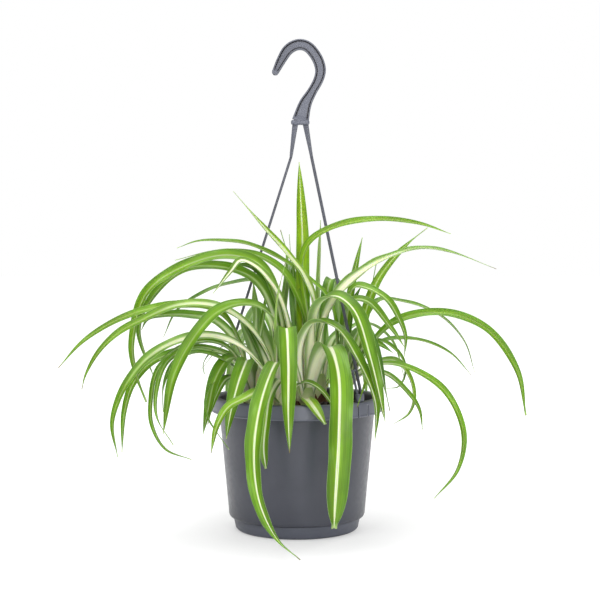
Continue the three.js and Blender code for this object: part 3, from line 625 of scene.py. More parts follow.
def blade_pattern_group(streaks, finish):
    """The leaf's colours, from its edge to its cream middle stripe, and the height of its veins."""
    def wire(graph, given):
        bands = use(graph, streaks, {name.title(): given[name.title()] for name in STREAK_VALUES})
        aside = graph.math("ABSOLUTE", given["Across"])
        wander = graph.times(graph.math("SUBTRACT", bands["Broad"], 0.5), 0.12)
        out = graph.math("ADD", aside, wander)
        # Painted light and shade: a negative share darkens a leaf's greens as if in shade, a
        # positive one makes them yellowish as if sunlit.
        painted_sun_share = graph.step(given["Tone"], 0.0, 1.0)
        painted_shade_share = graph.step(graph.times(given["Tone"], -1.0), 0.0, 1.0)

        def painted_lit_green(*shades):
            """A green mixed from its painted shade, plain and painted sunlit shades."""
            dark, plain, bright = (
                tuple(np.multiply(colour(*shade), finish.leaf_tint)) for shade in shades
            )
            return graph.mix(painted_shade_share, graph.mix(painted_sun_share, plain, bright), dark)

        middle = painted_lit_green((62, 105, 17), (105, 147, 21), (140, 172, 26))
        margin = painted_lit_green((49, 86, 18), (83, 122, 22), (115, 151, 26))
        glow = painted_lit_green((81, 122, 26), (124, 163, 37), (158, 190, 50))
        green = graph.mix(graph.step(out, 0.4, 0.92), middle, margin)
        near = graph.step(graph.math("DIVIDE", given["Run"], given["Pale"]), 1.0, 0.25)
        wide = graph.math("ADD", given["Stripe"], graph.times(near, 0.32))
        beside = graph.math("SUBTRACT", out, wide)
        green = graph.mix(graph.step(beside, 0.22, 0.0, 0.0, 0.75), green, glow)
        green = graph.shaded(green, graph.step(bands["Fine"], 0.36, 0.64, 0.8, 1.14))
        green = graph.shaded(green, graph.step(bands["Patch"], 0.3, 0.7, 0.82, 1.1))
        # Painted sheen: paler grey-green patches where the leaf's gloss would catch the light.
        sheen = graph.step(bands["Patch"], 0.56, 0.8, 0.0, 0.3)
        green = graph.mix(sheen, green, colour(168, 196, 122))
        green = graph.shaded(green, graph.step(given["Along"], 0.55, 1.0, 1.0, 0.78))

        ribbed = graph.step(bands["Fine"], 0.35, 0.7)
        cream = graph.mix(ribbed, tuple(finish.stripe), tuple(finish.stripe_rib))
        pale = graph.mix(bands["Broad"], colour(236, 238, 198), colour(252, 252, 232))
        cream = graph.mix(near, cream, pale)
        shows = graph.math("MAXIMUM", given["Shows"], graph.times(near, 0.85))
        painted = graph.mix(graph.times(graph.step(beside, 0.04, -0.04), shows), green, cream)
        lip = graph.step(graph.math("MAXIMUM", aside, given["Along"]), 0.975, 1.0, 0.0, 0.6)
        painted = graph.mix(lip, painted, colour(176, 196, 132))

        under = graph.mix(0.45, painted, colour(146, 170, 108))
        painted = graph.mix(given["Under"], painted, under)
        stalk = graph.times(near, graph.step(given["Under"], 0.0, 1.0, 0.65, 0.95))
        spread = graph.math("SUBTRACT", out, graph.times(near, 0.5))
        bleached = graph.times(stalk, graph.step(spread, 0.0, 0.4, 1.0, 0.12))
        painted = graph.mix(bleached, painted, pale)
        dry = graph.times(graph.step(given["Along"], 0.965, 1.0), given["Dry"])
        painted = graph.mix(dry, painted, colour(104, 84, 50))
        ridge = graph.math("ADD", bands["Fine"], graph.step(aside, 0.06, 0.0, 0.0, 0.8))
        return painted, ridge

    outputs = [("Colour", "NodeSocketColor"), ("Ridge", "NodeSocketFloat")]
    return group("BladePattern", floats(*(name.title() for name in LEAF_VALUES)), outputs, wire)


def leaf_material(pattern):
    def wire(graph):
        found = use(graph, pattern, {name.title(): graph.value(name) for name in LEAF_VALUES})
        rough = graph.step(graph.noise(graph.place(), 160.0), 0.3, 0.7, 0.34, 0.46)
        return {"Base Color": found["Colour"], "Roughness": rough,
                "Normal": bump(graph, found["Ridge"], 0.35, 0.00025)}

    return material("SpiderLeaf", wire, Specular_IOR_Level=0.25, Subsurface_Weight=0.4,
                    Subsurface_Radius=(0.6, 1.0, 0.2), Subsurface_Scale=0.002)


def skin_streaks(graph, streaks):
    return use(graph, streaks, {name.title(): graph.value(name) for name in STREAK_VALUES})


def sheath_material(streaks):
    """Pale, closely ribbed sheaths at the foot of the leaves, green towards their tops."""
    def wire(graph):
        bands = skin_streaks(graph, streaks)
        pale = graph.mix(bands["Broad"], colour(234, 236, 200), colour(198, 210, 150))
        green = graph.mix(bands["Fine"], colour(192, 210, 144), colour(152, 184, 98))
        painted = graph.mix(graph.step(graph.value("along"), 0.55, 1.0), pale, green)
        return {"Base Color": painted, "Normal": bump(graph, bands["Fine"], 0.5, 0.0003)}

    return material("PaleSheath", wire, Roughness=0.5)


def scale_material(streaks):
    """Dry, papery, brown old sheaths."""
    def wire(graph):
        bands = skin_streaks(graph, streaks)
        painted = graph.mix(bands["Fine"], colour(126, 84, 50), colour(66, 40, 24))
        painted = graph.mix(graph.step(bands["Patch"], 0.5, 0.75), painted, colour(168, 138, 96))
        return {"Base Color": painted, "Normal": bump(graph, bands["Fine"], 0.7, 0.0004)}

    return material("PaperyScale", wire, Roughness=0.8)


def soil_material(grain, finish):
    def wire(graph):
        marks = use(graph, grain, {"Place": graph.place()})
        speckled = graph.step(marks["Speck"], 0.35, 0.65)
        painted = graph.mix(speckled, tuple(finish.soil), tuple(finish.soil_bits))
        painted = graph.mix(graph.step(marks["Cloud"], 0.55, 0.75), painted, colour(34, 26, 22))
        return {"Base Color": painted, "Normal": bump(graph, marks["Speck"], 0.8, 0.0008)}

    return material("PottingSoil", wire, Roughness=0.95)


def plastic_material(name, grain, dark, light, roughness, painted_shade_mask=None, relief=0.25, lit=None):
    """Satin moulded plastic: two close shades in soft clouds with a fine grain. mark(graph) is
    where painted shade darkens it, and lit(graph) where a painted highlight makes it paler."""
    def wire(graph):
        marks = use(graph, grain, {"Place": graph.place()})
        painted = graph.mix(graph.step(marks["Cloud"], 0.35, 0.65), tuple(dark), tuple(light))
        # Painted highlight: paler where lit(graph) is high, on the rim's outer band.
        if lit:
            painted = graph.mix(lit(graph), painted, colour(100, 103, 116))
        # Painted shade: near black where the mask is high, on the pot's inner wall and in the
        # hanger's grooves.
        if painted_shade_mask:
            painted = graph.mix(painted_shade_mask(graph), painted, colour(34, 33, 38))
        rough = graph.step(marks["Speck"], 0.3, 0.7, roughness - 0.05, roughness + 0.05)
        return {"Base Color": painted, "Roughness": rough,
                "Normal": bump(graph, marks["Grain"], relief, 0.00015)}

    return material(name, wire, Specular_IOR_Level=0.5)


def reach_and_height(graph):
    """Distance from the pot's upright axis, and height over the floor."""
    place = graph.add("ShaderNodeSeparateXYZ", {0: graph.place()}).outputs
    return graph.distance(graph.vector(place["X"], place["Y"], 0.0)), place["Z"]


def painted_highlight_band(graph):
    """High on the rim's outer band, where a painted highlight makes it paler."""
    reach, _ = reach_and_height(graph)
    return graph.step(reach, 0.0755, 0.077, 0.0, 0.75)


def painted_shade_inside(graph):
    """1 on the pot's inner wall, darkened there by painted shade, and 0 on its outside and rim."""
    reach, height = reach_and_height(graph)
    slope = (POT["neck_radius"] - POT["shoulder_radius"]) / (POT["neck"] - POT["shoulder"])
    wall = graph.math("ADD", graph.times(height, slope), wall_radius(0) * MM)
    return graph.step(graph.math("SUBTRACT", wall, reach), 0.0008, 0.0016)


def floor_material():
    """A pale floor that bounces light as white card does, while its shadow stays as faint as in a
    white room."""
    def wire(graph):
        shade = graph.noise(graph.place(), 3.0)
        away = graph.distance(graph.place())
        seen = graph.add("ShaderNodeLightPath").outputs["Is Camera Ray"]
        card = graph.mix(shade, colour(246, 246, 246), colour(250, 250, 250))
        soft = graph.mix(shade, colour(180, 180, 180), colour(184, 184, 184))
        glow = graph.times(graph.step(away, 0.1, 0.8, 0.475, 0.73), seen)
        return {"Base Color": graph.mix(seen, card, soft), "Emission Strength": glow}

    return material("PaleFloor", wire, Roughness=0.7, Specular_IOR_Level=0.2,
                    Emission_Color=(1, 1, 1, 1))


def finish_of(name):
    """The material of that name, made on first use with the node groups that it shares."""
    if name in bpy.data.materials:
        return bpy.data.materials[name]
    finish, groups = bpy.context.scene.plant_finish, bpy.data.node_groups
    streaks = groups.get("BladeStreaks") or streaks_group()
    grain = groups.get("MouldedGrain") or grain_group()
    makers = {
        "SpiderLeaf": lambda: leaf_material(blade_pattern_group(streaks, finish)),
        "PaleSheath": lambda: sheath_material(streaks),
        "PaperyScale": lambda: scale_material(streaks),
        "PottingSoil": lambda: soil_material(grain, finish),
        "SlatePot": lambda: plastic_material(
            name, grain, finish.pot, finish.pot_cloud, 0.36, painted_shade_inside, lit=painted_highlight_band),
        "SlateTray": lambda: plastic_material(name, grain, finish.tray, finish.tray_cloud, 0.4),
        # The hanger is darkened by painted shade wherever its mesh carries it: hook grooves, legs
        # and strands.
        "SlateHanger": lambda: plastic_material(
            name, grain, finish.hanger, finish.hanger_cloud, 0.42,
            lambda graph: graph.value("groove"), 0.08),
        "PaleFloor": floor_material,
    }
    return makers[name]()


def settle(piece, slot, *nodes):
    """Gives a finished piece the one body and hides the nodes that it stands for; slot is not used.
    """
    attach(piece, "root")
    if nodes:
        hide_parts(*nodes)


# ---- pot, tray and soil --------------------------------------------------------------------------


def rim_box(bearing, offset, radius, wide, deep, low, high):
    """Corners and faces of an upright box at a bearing on the rim, moved along it by offset."""
    angle = math.radians(bearing)
    out = np.array([math.cos(angle), math.sin(angle), 0])
    along = np.array([-math.sin(angle), math.cos(angle), 0])
    corners = [
        out * (radius + x * deep / 2) + along * (offset + y * wide / 2) + np.array([0, 0, z])
        for z in (low, high) for x, y in ((-1, -1), (1, -1), (1, 1), (-1, 1))
    ]
    faces = [(3, 2, 1, 0), (4, 5, 6, 7), (0, 1, 5, 4), (1, 2, 6, 5), (2, 3, 7, 6), (3, 0, 4, 7)]
    return corners, faces


def pot_profile():
    """Section of the pot, from under its middle up the outside, over the rim and down inside."""
    top, radius, lip, skirt_end = RIM["top"], RIM["radius"], RIM["lip"], RIM["skirt_end"]
    under, floor, foot, sill = POT["floor_under"], POT["floor"], POT["foot"], POT["sill"]
    ledge, band_inner = top - RIM["ledge"], radius - RIM["skirt"]
    inner_top = wall_radius(top) - POT["wall"]
    return [
        (0, under), (POT["foot_inner"], under), (POT["foot_inner"], foot),
        (POT["foot_outer"], foot), (POT["foot_outer"], under), (POT["floor_radius"], under),
        (POT["step_inner"], POT["step"]), (POT["step_radius"], POT["step"]),
        (POT["shoulder_radius"], POT["shoulder"]), (POT["neck_radius"], POT["neck"]),
        (POT["neck_top"], ledge), (band_inner, ledge), (band_inner, skirt_end),
        *[(radius + out, skirt_end + up) for out, up in RIM["bead"]],
        (radius - RIM["lean"], top - lip), (radius - lip, top),
        (inner_top + lip, top), (inner_top, top - lip),
        (wall_radius(sill) - POT["wall"], sill), (POT["step_inner"] - POT["wall"], sill),
        (POT["inside"], floor), (0, floor),
    ]


def build_pot(settings):
    """The turned pot, with the clips' slots and the slits beside them cut into its rim."""
    shape = Shape()
    shape.turn(filleted(pot_profile(), RIM["fillet"]), settings.segments)
    piece = shape.build("pot_shell", finish_of("SlatePot"))
    cutters = Shape()
    slit_low = RIM["skirt_end"] - SLIT["past_end"]
    slit_high = RIM["top"] - RIM["ledge"] - SLIT["under_ledge"]
    for arm in ARMS:
        for side in (-1, 1):
            cutters.add(*rim_box(arm["bearing"], side * settings.slit_offset,
                                 RIM["radius"] - SLIT["set_in"], settings.slit_wide, SLIT["deep"],
                                 slit_low, slit_high))
        cutters.add(*rim_box(arm["bearing"], 0, CLIP["circle"], CLIP["slot_wide"],
                             CLIP["slot_deep"], RIM["top"] - 2 * RIM["ledge"], RIM["top"] + 1))
    tool = cutters.build("slit_tool", finish_of("SlatePot"))
    cut = piece.modifiers.new("slits", "BOOLEAN")
    cut.operation, cut.solver, cut.object = "DIFFERENCE", "EXACT", tool
    depsgraph = bpy.context.evaluated_depsgraph_get()
    piece.data = bpy.data.meshes.new_from_object(piece.evaluated_get(depsgraph))
    piece.modifiers.clear()
    bpy.data.objects.remove(tool)
    settle(piece, "pot_plastic", "pot")


def build_tray(settings):
    shape = Shape()
    shape.turn(filleted(TRAY_PROFILE, TRAY_FILLET), settings.segments)
    settle(shape.build("tray_dish", finish_of("SlateTray")), "tray_plastic", "drip_tray")


def soil_height(x, y):
    """Crumbly surface: low mounds with lumps and grit."""
    place = Vector((x, y, 0))
    mound = noise.noise(place * SOIL["mound_pitch"]) * SOIL["mound"]
    lumps = noise.fractal(place * SOIL["lump_pitch"], 1.0, 2.2, 3) * SOIL["lump"]
    return SOIL["top"] + mound + lumps


def add_crumbs(shape, reach_of_soil, count, random):
    """Loose crumbs of many sizes, each a knobbly ball half sunk in the surface."""
    ball = bmesh.new()
    bmesh.ops.create_icosphere(ball, subdivisions=1, radius=1)
    knob = np.array([vertex.co[:] for vertex in ball.verts])
    faces = [tuple(vertex.index for vertex in face.verts) for face in ball.faces]
    ball.free()
    for _ in range(count):
        reach, angle = reach_of_soil * math.sqrt(random.random()), random.random() * 2 * math.pi
        x, y = reach * math.cos(angle), reach * math.sin(angle)
        size = CRUMB["size"] + CRUMB["spread"] * random.random() ** 2
        turn = np.linalg.qr(random.normal(size=(3, 3)))[0]
        stretch = size * (0.7 + 0.6 * random.random(3))
        rough = 1 + CRUMB["rough"] * random.normal(size=(len(knob), 1))
        height = soil_height(x, y) + CRUMB["proud"] * size
        shape.add((knob * rough * stretch) @ turn + [x, y, height], faces)


def build_soil(settings):
    shape = Shape()
    wall = POT["wall"] + GAP
    radius = wall_radius(SOIL["top"]) - wall
    angles = round_angles(settings.soil_spokes)
    rings = []
    for share in np.linspace(0.002, 1, settings.soil_rings):
        ring = arc((0, 0), share * radius, angles, SOIL["top"])
        if share < 1:
            ring[:, 2] = [soil_height(x, y) for x, y, _ in ring]
        rings.append(ring)
    for reach, height in ((wall_radius(POT["sill"]) - wall, POT["sill"]),
                          (POT["step_inner"] - wall, POT["sill"]),
                          (POT["inside"] - GAP, POT["floor"])):
        rings.append(arc((0, 0), reach, angles, height + GAP))
    shape.skin(rings)
    random = np.random.default_rng(settings.seed)
    add_crumbs(shape, radius - CRUMB["from_wall"], settings.crumbs, random)
    settle(shape.build("potting_soil", finish_of("PottingSoil"), sharp=SOFT_CREASE), "soil", "soil")


# ---- hanger --------------------------------------------------------------------------------------


def hook_ring(centre, normal, half, depth):
    """Section across the hook's band, with a rounded rib on each edge and the recessed web between;
    with it goes the painted shade on each of its points, 0 to 1, most where the web dips beside a
    rib."""
    face = HOOK["thick"] / 2
    web = face - depth * (face - HOOK["web"] / 2)
    rib = min(HOOK["rib"], half * 0.75)
    inner = max(half - rib - 0.35, 0.05)
    step = max(half - rib + 0.05, 0.1)
    front = [
        (-half, 0), (-half, face - 0.9), (-half + 0.18, face - 0.35), (-half + 0.55, face - 0.06),
        (-half + 0.9, face), (-step - 0.35, face), (-step - 0.1, lerp(face, web, 0.15)),
        (-step, lerp(face, web, 0.5)), (-inner, web), (-inner * 0.72, web), (-inner * 0.4, web),
        (0, web),
    ]
    upper = [*front, *[(-across, up) for across, up in reversed(front[:-1])]]
    outline = [*upper, *[(across, -up) for across, up in reversed(upper[1:-1])]]
    shade = depth * np.array([0.3, 0.3, 0.1, 0, 0, 0.8, 1, 1, 1, 0, 0, 0])
    upper_shade = np.concatenate([shade, shade[-2::-1]])
    groove = np.concatenate([upper_shade, upper_shade[-2:0:-1]])
    return [centre + normal * across + np.array([0, up, 0]) for across, up in outline], groove


def build_hook(shape, steps):
    line = Curve([(x, width, z) for x, z, width in HOOK_LINE])
    parameters = np.linspace(0, 1, steps)
    at, along = line.point(parameters), line.tangent(parameters)
    rings = []
    radius = HOOK_LINE[0][2] / 2
    for place, direction, share in zip(at, along, parameters):
        flat = unit(np.array([direction[0], 0, direction[2]]))
        normal = np.array([-flat[2], 0, flat[0]])
        centre = np.array([place[0], 0, place[2]])
        if share == 0:
            for lag in (0.995, 0.9, 0.7, 0.4):
                half = radius * math.sqrt(1 - lag * lag)
                rings.append(hook_ring(centre - flat * radius * lag, normal, max(half, 0.3), 0))
        depth = float(smoothstep(share, 0.0, 0.02) * smoothstep(share, 0.995, 0.975))
        rings.append(hook_ring(centre, normal, place[1] / 2, depth))
    shape.skin([ring for ring, _ in rings], groove=np.array([groove for _, groove in rings]))


def foot_and_legs(shape):
    middle = FOOT_BAR["bottom"] + FOOT_BAR["height"] / 2
    size = (FOOT_BAR["thick"], FOOT_BAR["height"])
    rounded_bar(shape, (FOOT_BAR["left"], 0, middle), (FOOT_BAR["right"], 0, middle), size, size,
                (0, 1, 0), radius=FOOT_BAR["round"])
    band = (LEG["thick"] + LEG["band_proud"], LEG["band_high"])
    for arm in ARMS:
        top = np.array([arm["top"], 0, FOOT_BAR["bottom"] + 1], float)
        low = np.array([arm["low"], 0, LEG["low"]], float)
        # Each leg carries painted shade over its whole surface.
        rounded_bar(shape, top, low, (2 * LEG["half_top"], LEG["thick"]),
                    (2 * LEG["half_low"], LEG["thick"]), (1, 0, 0), radius=LEG["round"],
                    groove=LEG["shade"])
        for share in np.linspace(LEG["bands_from"], LEG["bands_to"], LEG["bands"]):
            wide = 2 * lerp(LEG["half_top"], LEG["half_low"], share) + LEG["band_proud"]
            spot, half = lerp(top, low, share), np.array([wide / 2, 0, 0])
            rounded_bar(shape, spot - half, spot + half, band, band, (0, 1, 0),
                        radius=LEG["band_round"])


def strand_and_clip(shape, arm):
    """A strand from its leg to the rim, the small stirrup beside its foot and the clip under it."""
    angle = math.radians(arm["bearing"])
    out = np.array([math.cos(angle), math.sin(angle), 0])
    along = np.array([math.sin(angle), -math.cos(angle), 0])
    step = along * (CLIP["stirrup_wide"] - CLIP["bar"])
    foot = out * CLIP["circle"] + np.array([0, 0, CLIP["block_top"] - CLIP["sunk"]]) - step / 2
    knee = np.array([arm["low"], 0, LEG["low"]], float)
    corner = lerp(foot, knee, (CLIP["stirrup_top"] - foot[2]) / (knee[2] - foot[2]))
    far = corner + step
    size, bar = (STRAND["width"], STRAND["thick"]), (CLIP["bar"], CLIP["bar"])
    # The strand carries painted shade over its whole surface.
    rounded_bar(shape, knee + unit(knee - foot) * 2, foot, size, size, along,
                radius=STRAND["round"], groove=STRAND["shade"])
    rounded_bar(shape, corner, far + along * CLIP["bar"] / 2, bar, bar, out)
    rounded_bar(shape, far, foot + step, bar, bar, out)
    place, barb_top = out * CLIP["circle"], RIM["top"] - RIM["ledge"] - GAP
    blocks = [
        (CLIP["block_wide"], CLIP["block_deep"], RIM["top"] + GAP, CLIP["block_top"]),
        (CLIP["peg_wide"], CLIP["peg_deep"], CLIP["peg_end"], CLIP["block_top"]),
        (CLIP["peg_wide"], CLIP["barb_deep"], barb_top - CLIP["barb_high"], barb_top),
    ]
    for wide, deep, low, high in blocks:
        section = (deep, wide)
        rounded_bar(shape, place + [0, 0, low], place + [0, 0, high], section, section, out)


def build_hanger(settings):
    shape = Shape(groove=0)
    build_hook(shape, settings.hook_steps)
    foot_and_legs(shape)
    for arm in ARMS:
        strand_and_clip(shape, arm)
    settle(shape.build("hook_and_strands", finish_of("SlateHanger")), "hanger_plastic", "hanger")


# ---- rosettes ------------------------------------------------------------------------------------

# Where the points of a leaf's section lie across it, as shares of its half width.
COLUMNS = np.array([-1, -0.93, -0.75, -0.5, -0.25, -0.08, 0, 0.08, 0.25, 0.5, 0.75, 0.93, 1])


def half_width(width, taper, shares):
    """Half width of a blade along its length: a clasping base, widest low down, then the taper."""
    grow = smoothstep(shares, 0, BLADE["widest_at"])
    past = np.maximum(0, (shares - BLADE["widest_at"]) / (1 - BLADE["widest_at"]))
    base = min(1, max(BLADE["base_share"], BLADE["base_width"] / width))
    half = width / 2 * lerp(base, 1, grow) * (1 - past**taper)
    if taper < BLADE["pointed"]:
        thin = smoothstep(shares, BLADE["thread_from"], BLADE["thread_by"])
        half = half * (1 - BLADE["thread"] * thin)
    blunt = BLADE["blunt_share"] * width
    return np.maximum(half, blunt if taper > BLADE["blunt"] else BLADE["least_half"])


def root_point(crown, first, order):
    """Where a leaf leaves its crown: towards its first point, at one of a few heights in turn."""
    bearing = math.atan2(first[1] - crown[1], first[0] - crown[0])
    height = SOIL["top"] + BLADE["start"] + BLADE["start_step"] * (order % BLADE["start_levels"])
    return (crown[0] + BLADE["start_out"] * math.cos(bearing),
            crown[1] + BLADE["start_out"] * math.sin(bearing), height)


def add_blade(shape, row, crown, order, look, settings, random):
    """One leaf: a shallow channel with softly waved edges, along its midrib out of its crown."""
    width, roll, taper, *way = row
    tone, stripe, shows, pale = look
    early, late = roll if isinstance(roll, list) else (roll, roll)
    curve = Curve([root_point(crown, way[0], order), *way])
    length = curve.lengths[-1]
    sections = max(BLADE["least_sections"], int(length / settings.station_step))
    shares = 1 - (1 - np.linspace(0, 1, sections)) ** BLADE["crowding"]
    parameters = curve.parameter_at(shares)
    at, tangents = curve.point(parameters), curve.tangent(parameters)
    halves = half_width(width, taper, shares)
    right = unit(np.array([way[-1][1] - crown[1], crown[0] - way[-1][0], 0.0]))
    phase, pitch = random.random(2) * 2 * math.pi, BLADE["pitch"] * (1 + random.random(2))
    fold = (np.sqrt(COLUMNS**2 + 0.01) - 0.1) / (math.sqrt(1.01) - 0.1)
    side = (COLUMNS > 0).astype(int)
    rings = []
    for place, along, share, half in zip(at, tangents, shares, halves):
        right = unit(right - along * right.dot(along))
        twist = (late - early) * float(smoothstep(share, BLADE["roll_by"], BLADE["twist_by"]))
        turn = math.radians(early * float(smoothstep(share, 0, BLADE["roll_by"])) + twist)
        across = right * math.cos(turn) + np.cross(along, right) * math.sin(turn)
        up = np.cross(across, along)
        deeper = BLADE["base_keel"] * (1 - float(smoothstep(share, 0.0, 0.35)))
        keel = BLADE["keel"] * half * (1 + deeper)
        ripple = np.sin(2 * math.pi * share * length / (pitch[side] * 2) + phase[side])
        swell = settings.wave * half / BLADE["wave_width"] * math.sin(math.pi * share)
        lift = keel * (2 * fold - 1) + swell * np.abs(COLUMNS) ** 3 * ripple
        skin = BLADE["thick"] / 2 * (1 - 0.65 * COLUMNS**2) * min(1.0, 0.35 + half / 4)
        notched = share == 1 and taper > BLADE["blunt"]
        notch = BLADE["notch"] * notched * (1 - np.minimum(np.abs(COLUMNS) * 2, 1))
        base = place + across * (COLUMNS * half)[:, None] - along * notch[:, None]
        above, below = base + up * (lift + skin)[:, None], base + up * (lift - skin)[:, None]
        rings.append(np.vstack([above, below[::-1]]))
    shape.skin(
        rings, across=np.concatenate([COLUMNS, COLUMNS[::-1]]), run=(shares * length * MM)[:, None],
        along=shares[:, None], under=np.repeat([0.0, 1.0], len(COLUMNS)), seed=random.random(),
        tone=tone, stripe=stripe, shows=shows, pale=pale * MM,
        dry=float(random.random() < BLADE["dry_share"] and taper < BLADE["blunt"]),
    )


def add_crown(shape, crown, random):
    """The stout, ribbed foot of a rosette, from its root stock up to where the leaves part."""
    ground, root, radius, top = SOIL["top"], CROWN["root"], CROWN["radius"], CROWN["top"]
    profile = filleted([
        (0, ground - root), (radius * CROWN["bottom_share"], ground - root),
        (radius * CROWN["belly_share"], ground - root / 2), (radius, ground),
        (radius * CROWN["shoulder_share"], ground + top / 2),
        (radius * CROWN["top_share"], ground + top), (0, ground + top + CROWN["cap"]),
    ], 2)
    angles = round_angles(CROWN["segments"])
    ribs = 1 + CROWN["rib"] * np.sin(angles * CROWN["ribs"] + random.random() * 6)
    rings = [arc(crown, reach * ribs, angles, height) for reach, height in profile]
    shape.skin(rings, caps=False, across=np.sin(angles * 4), run=0.001, seed=random.random(),
               stripe=0.1, under=1.0, pale=1.0)


def build_rosette(name, settings):
    random = np.random.default_rng(settings.seed + list(CROWNS).index(name))
    shape = Shape(**dict.fromkeys(LEAF_VALUES, 0))
    add_crown(shape, CROWNS[name], random)
    for order, (row, look) in enumerate(zip(LEAVES[name], LOOKS[name], strict=True)):
        add_blade(shape, row, CROWNS[name], order, look, settings, random)
    piece = shape.build(f"leaves_{name}", finish_of("SpiderLeaf"), sharp=SOFT_CREASE)
    settle(piece, "leaf", f"rosette_{name}")


def add_skin(shape, crown, kind, turn, random):
    """A thin curved sheet that clasps part of a crown and narrows to its top."""
    bearing = turn * kind["turn"] + random.random()
    radius = kind["radius"] + kind["radius_step"] * turn
    flare = kind["flare"][0] + kind["flare"][1] * random.random()
    height = kind["height"][0] + kind["height"][1] * random.random()
    columns = np.linspace(-1, 1, SKIN["columns"])
    rows = np.linspace(0, 1, SKIN["rows"])
    rings = []
    for share in rows:
        angles = bearing + columns * kind["half_angle"] * (1 - 0.75 * share**1.4)
        reach = radius + flare * share**1.6
        torn = kind["torn"] * share * np.sin(columns * 9 + bearing * 5)
        level = SOIL["top"] - SKIN["below"] + share * height + torn
        outer, inner = (arc(crown, reach + thick, angles, level)
                        for thick in (SKIN["half_thick"], -SKIN["half_thick"]))
        rings.append(np.vstack([outer, inner[::-1]]))
    shape.skin(rings, across=np.concatenate([columns, columns[::-1]]), along=rows[:, None],
               run=(rows * height * MM)[:, None], seed=random.random())


def build_skins(settings):
    """Pale sheaths that hug each crown, and the brown papery remains of old ones under them."""
    random = np.random.default_rng(settings.seed + 100)
    sheaths, scales = (Shape(**dict.fromkeys(SKIN_VALUES, 0)) for _ in range(2))
    for crown in CROWNS.values():
        for shape, kind in ((sheaths, SHEATH), (scales, SCALE)):
            for turn in range(kind["count"]):
                add_skin(shape, crown, kind, turn, random)
    settle(sheaths.build("pale_sheaths", finish_of("PaleSheath"), sharp=SOFT_CREASE), "leaf")
    settle(scales.build("papery_scales", finish_of("PaperyScale"), sharp=SOFT_CREASE), "leaf")


# ---- stage ---------------------------------------------------------------------------------------


EYE = (0.0028, -1.38, 0.28)  # the photograph's level viewpoint, in metres
SENSOR = 36
FLOOR = {"half": 6, "under": 0.0002}  # just under the tray, so that the two faces don't coincide

# Soft lights: their setting, its share, place, what they point at, and width and height (metres).
LIGHTS = {
    "key": ("key", 1, (-0.9, -1.5, 1.9), (0, 0, 0.22), (1.2, 1.2)),
    "fill": ("fill", 1, (0.35, -1.6, 0.5), (0, 0, 0.1), (0.6, 0.9)),
    "top": ("top", 1, (0.1, 0.3, 2.2), (0, 0, 0.22), (1.8, 1.8)),
    "left_strip": ("strips", 0.6, (-1.0, 0.95, 0.4), (0, 0, 0.15), (0.5, 1.6)),
    "right_strip": ("strips", 1, (1.0, 0.95, 0.4), (0, 0, 0.15), (0.5, 1.6)),
}


def link(name, data):
    """A new object in the scene for a mesh, light or camera."""
    made = bpy.data.objects.new(name, data)
    bpy.context.scene.collection.objects.link(made)
    return made


def place_camera(settings):
    data = bpy.data.cameras.new("camera")
    data.lens, data.sensor_width, data.shift_y = settings.lens, SENSOR, settings.shift
    camera = link("camera", data)
    camera.location = EYE
    camera.rotation_euler = (math.radians(90), 0, 0)
    bpy.context.scene.camera = camera


def white_room(settings):
    """White to the camera, and soft light from walls and ceiling to everything else."""
    world = bpy.data.worlds.new("white_room")
    world.use_nodes = True
    world.node_tree.nodes.clear()
    graph = Graph(world.node_tree)
    seen = graph.add("ShaderNodeLightPath").outputs["Is Camera Ray"]
    direction = graph.add("ShaderNodeTexCoord").outputs["Generated"]
    upward = graph.add("ShaderNodeSeparateXYZ", {0: direction}).outputs["Z"]
    room = graph.step(upward, 0.0, 0.9, settings.surround, settings.overhead)
    sockets = {"Color": (1, 1, 1, 1), "Strength": graph.math("MAXIMUM", seen, room)}
    sky = graph.add("ShaderNodeBackground", sockets)
    graph.add("ShaderNodeOutputWorld", {"Surface": sky.outputs[0]})
    bpy.context.scene.world = world


def build_stage(settings):
    bpy.context.scene.view_settings.view_transform = "Standard"
    place_camera(settings)
    white_room(settings)
    mesh = bpy.data.meshes.new("floor")
    half = FLOOR["half"]
    corners = [(-half, -half, 0), (half, -half, 0), (half, half, 0), (-half, half, 0)]
    mesh.from_pydata(corners, [], [(0, 1, 2, 3)])
    mesh.materials.append(finish_of("PaleFloor"))
    floor = link("floor", mesh)
    floor.location.z = -FLOOR["under"]
    for name, (field, share, place, aim, size) in LIGHTS.items():
        data = bpy.data.lights.new(name, "AREA")
        data.shape, data.size, data.size_y = "RECTANGLE", *size
        data.energy = share * getattr(settings, field)
        lamp = link(name, data)
        lamp.location = place
        lamp.rotation_euler = (Vector(aim) - Vector(place)).to_track_quat("-Z", "Y").to_euler()


# ---- the add-on ----------------------------------------------------------------------------------


def number(name, description, default, unit="NONE", **limits):
    return bpy.props.FloatProperty(name=name, description=description, default=default, unit=unit,
                                   **limits)


def count(name, description, default):
    return bpy.props.IntProperty(name=name, description=description, default=default, min=1)


def paint(name, description, *shade):
    return bpy.props.FloatVectorProperty(name=name, description=description, default=colour(*shade),
                                         size=4, min=0, max=1, subtype="COLOR")


class PlantSettings(bpy.types.PropertyGroup):
    seed: count("Seed", "Seed of the leaves' random draws", 7)
    station_step: number("Station step", "Millimetres between sections of a leaf", 3.2, min=1)
    wave: number("Edge wave", "Millimetres of ripple along the edges of a leaf", 0.5)


class PotSettings(bpy.types.PropertyGroup):
    seed: count("Seed", "Seed of the soil's crumbs", 11)
    segments: count("Segments", "Facets round the pot and tray", 192)
    slit_offset: number("Slit offset", "Millimetres from a clip to the slits beside it", 6.6)
    slit_wide: number("Slit width", "Millimetres across the slits in the rim's skirt", 1.3)
    soil_rings: count("Soil rings", "Rings in the soil's surface", 56)
    soil_spokes: count("Soil spokes", "Points round each ring of the soil", 180)
    crumbs: count("Crumbs", "Loose crumbs on the soil", 420)
    hook_steps: count("Hook steps", "Sections along the hook", 150)


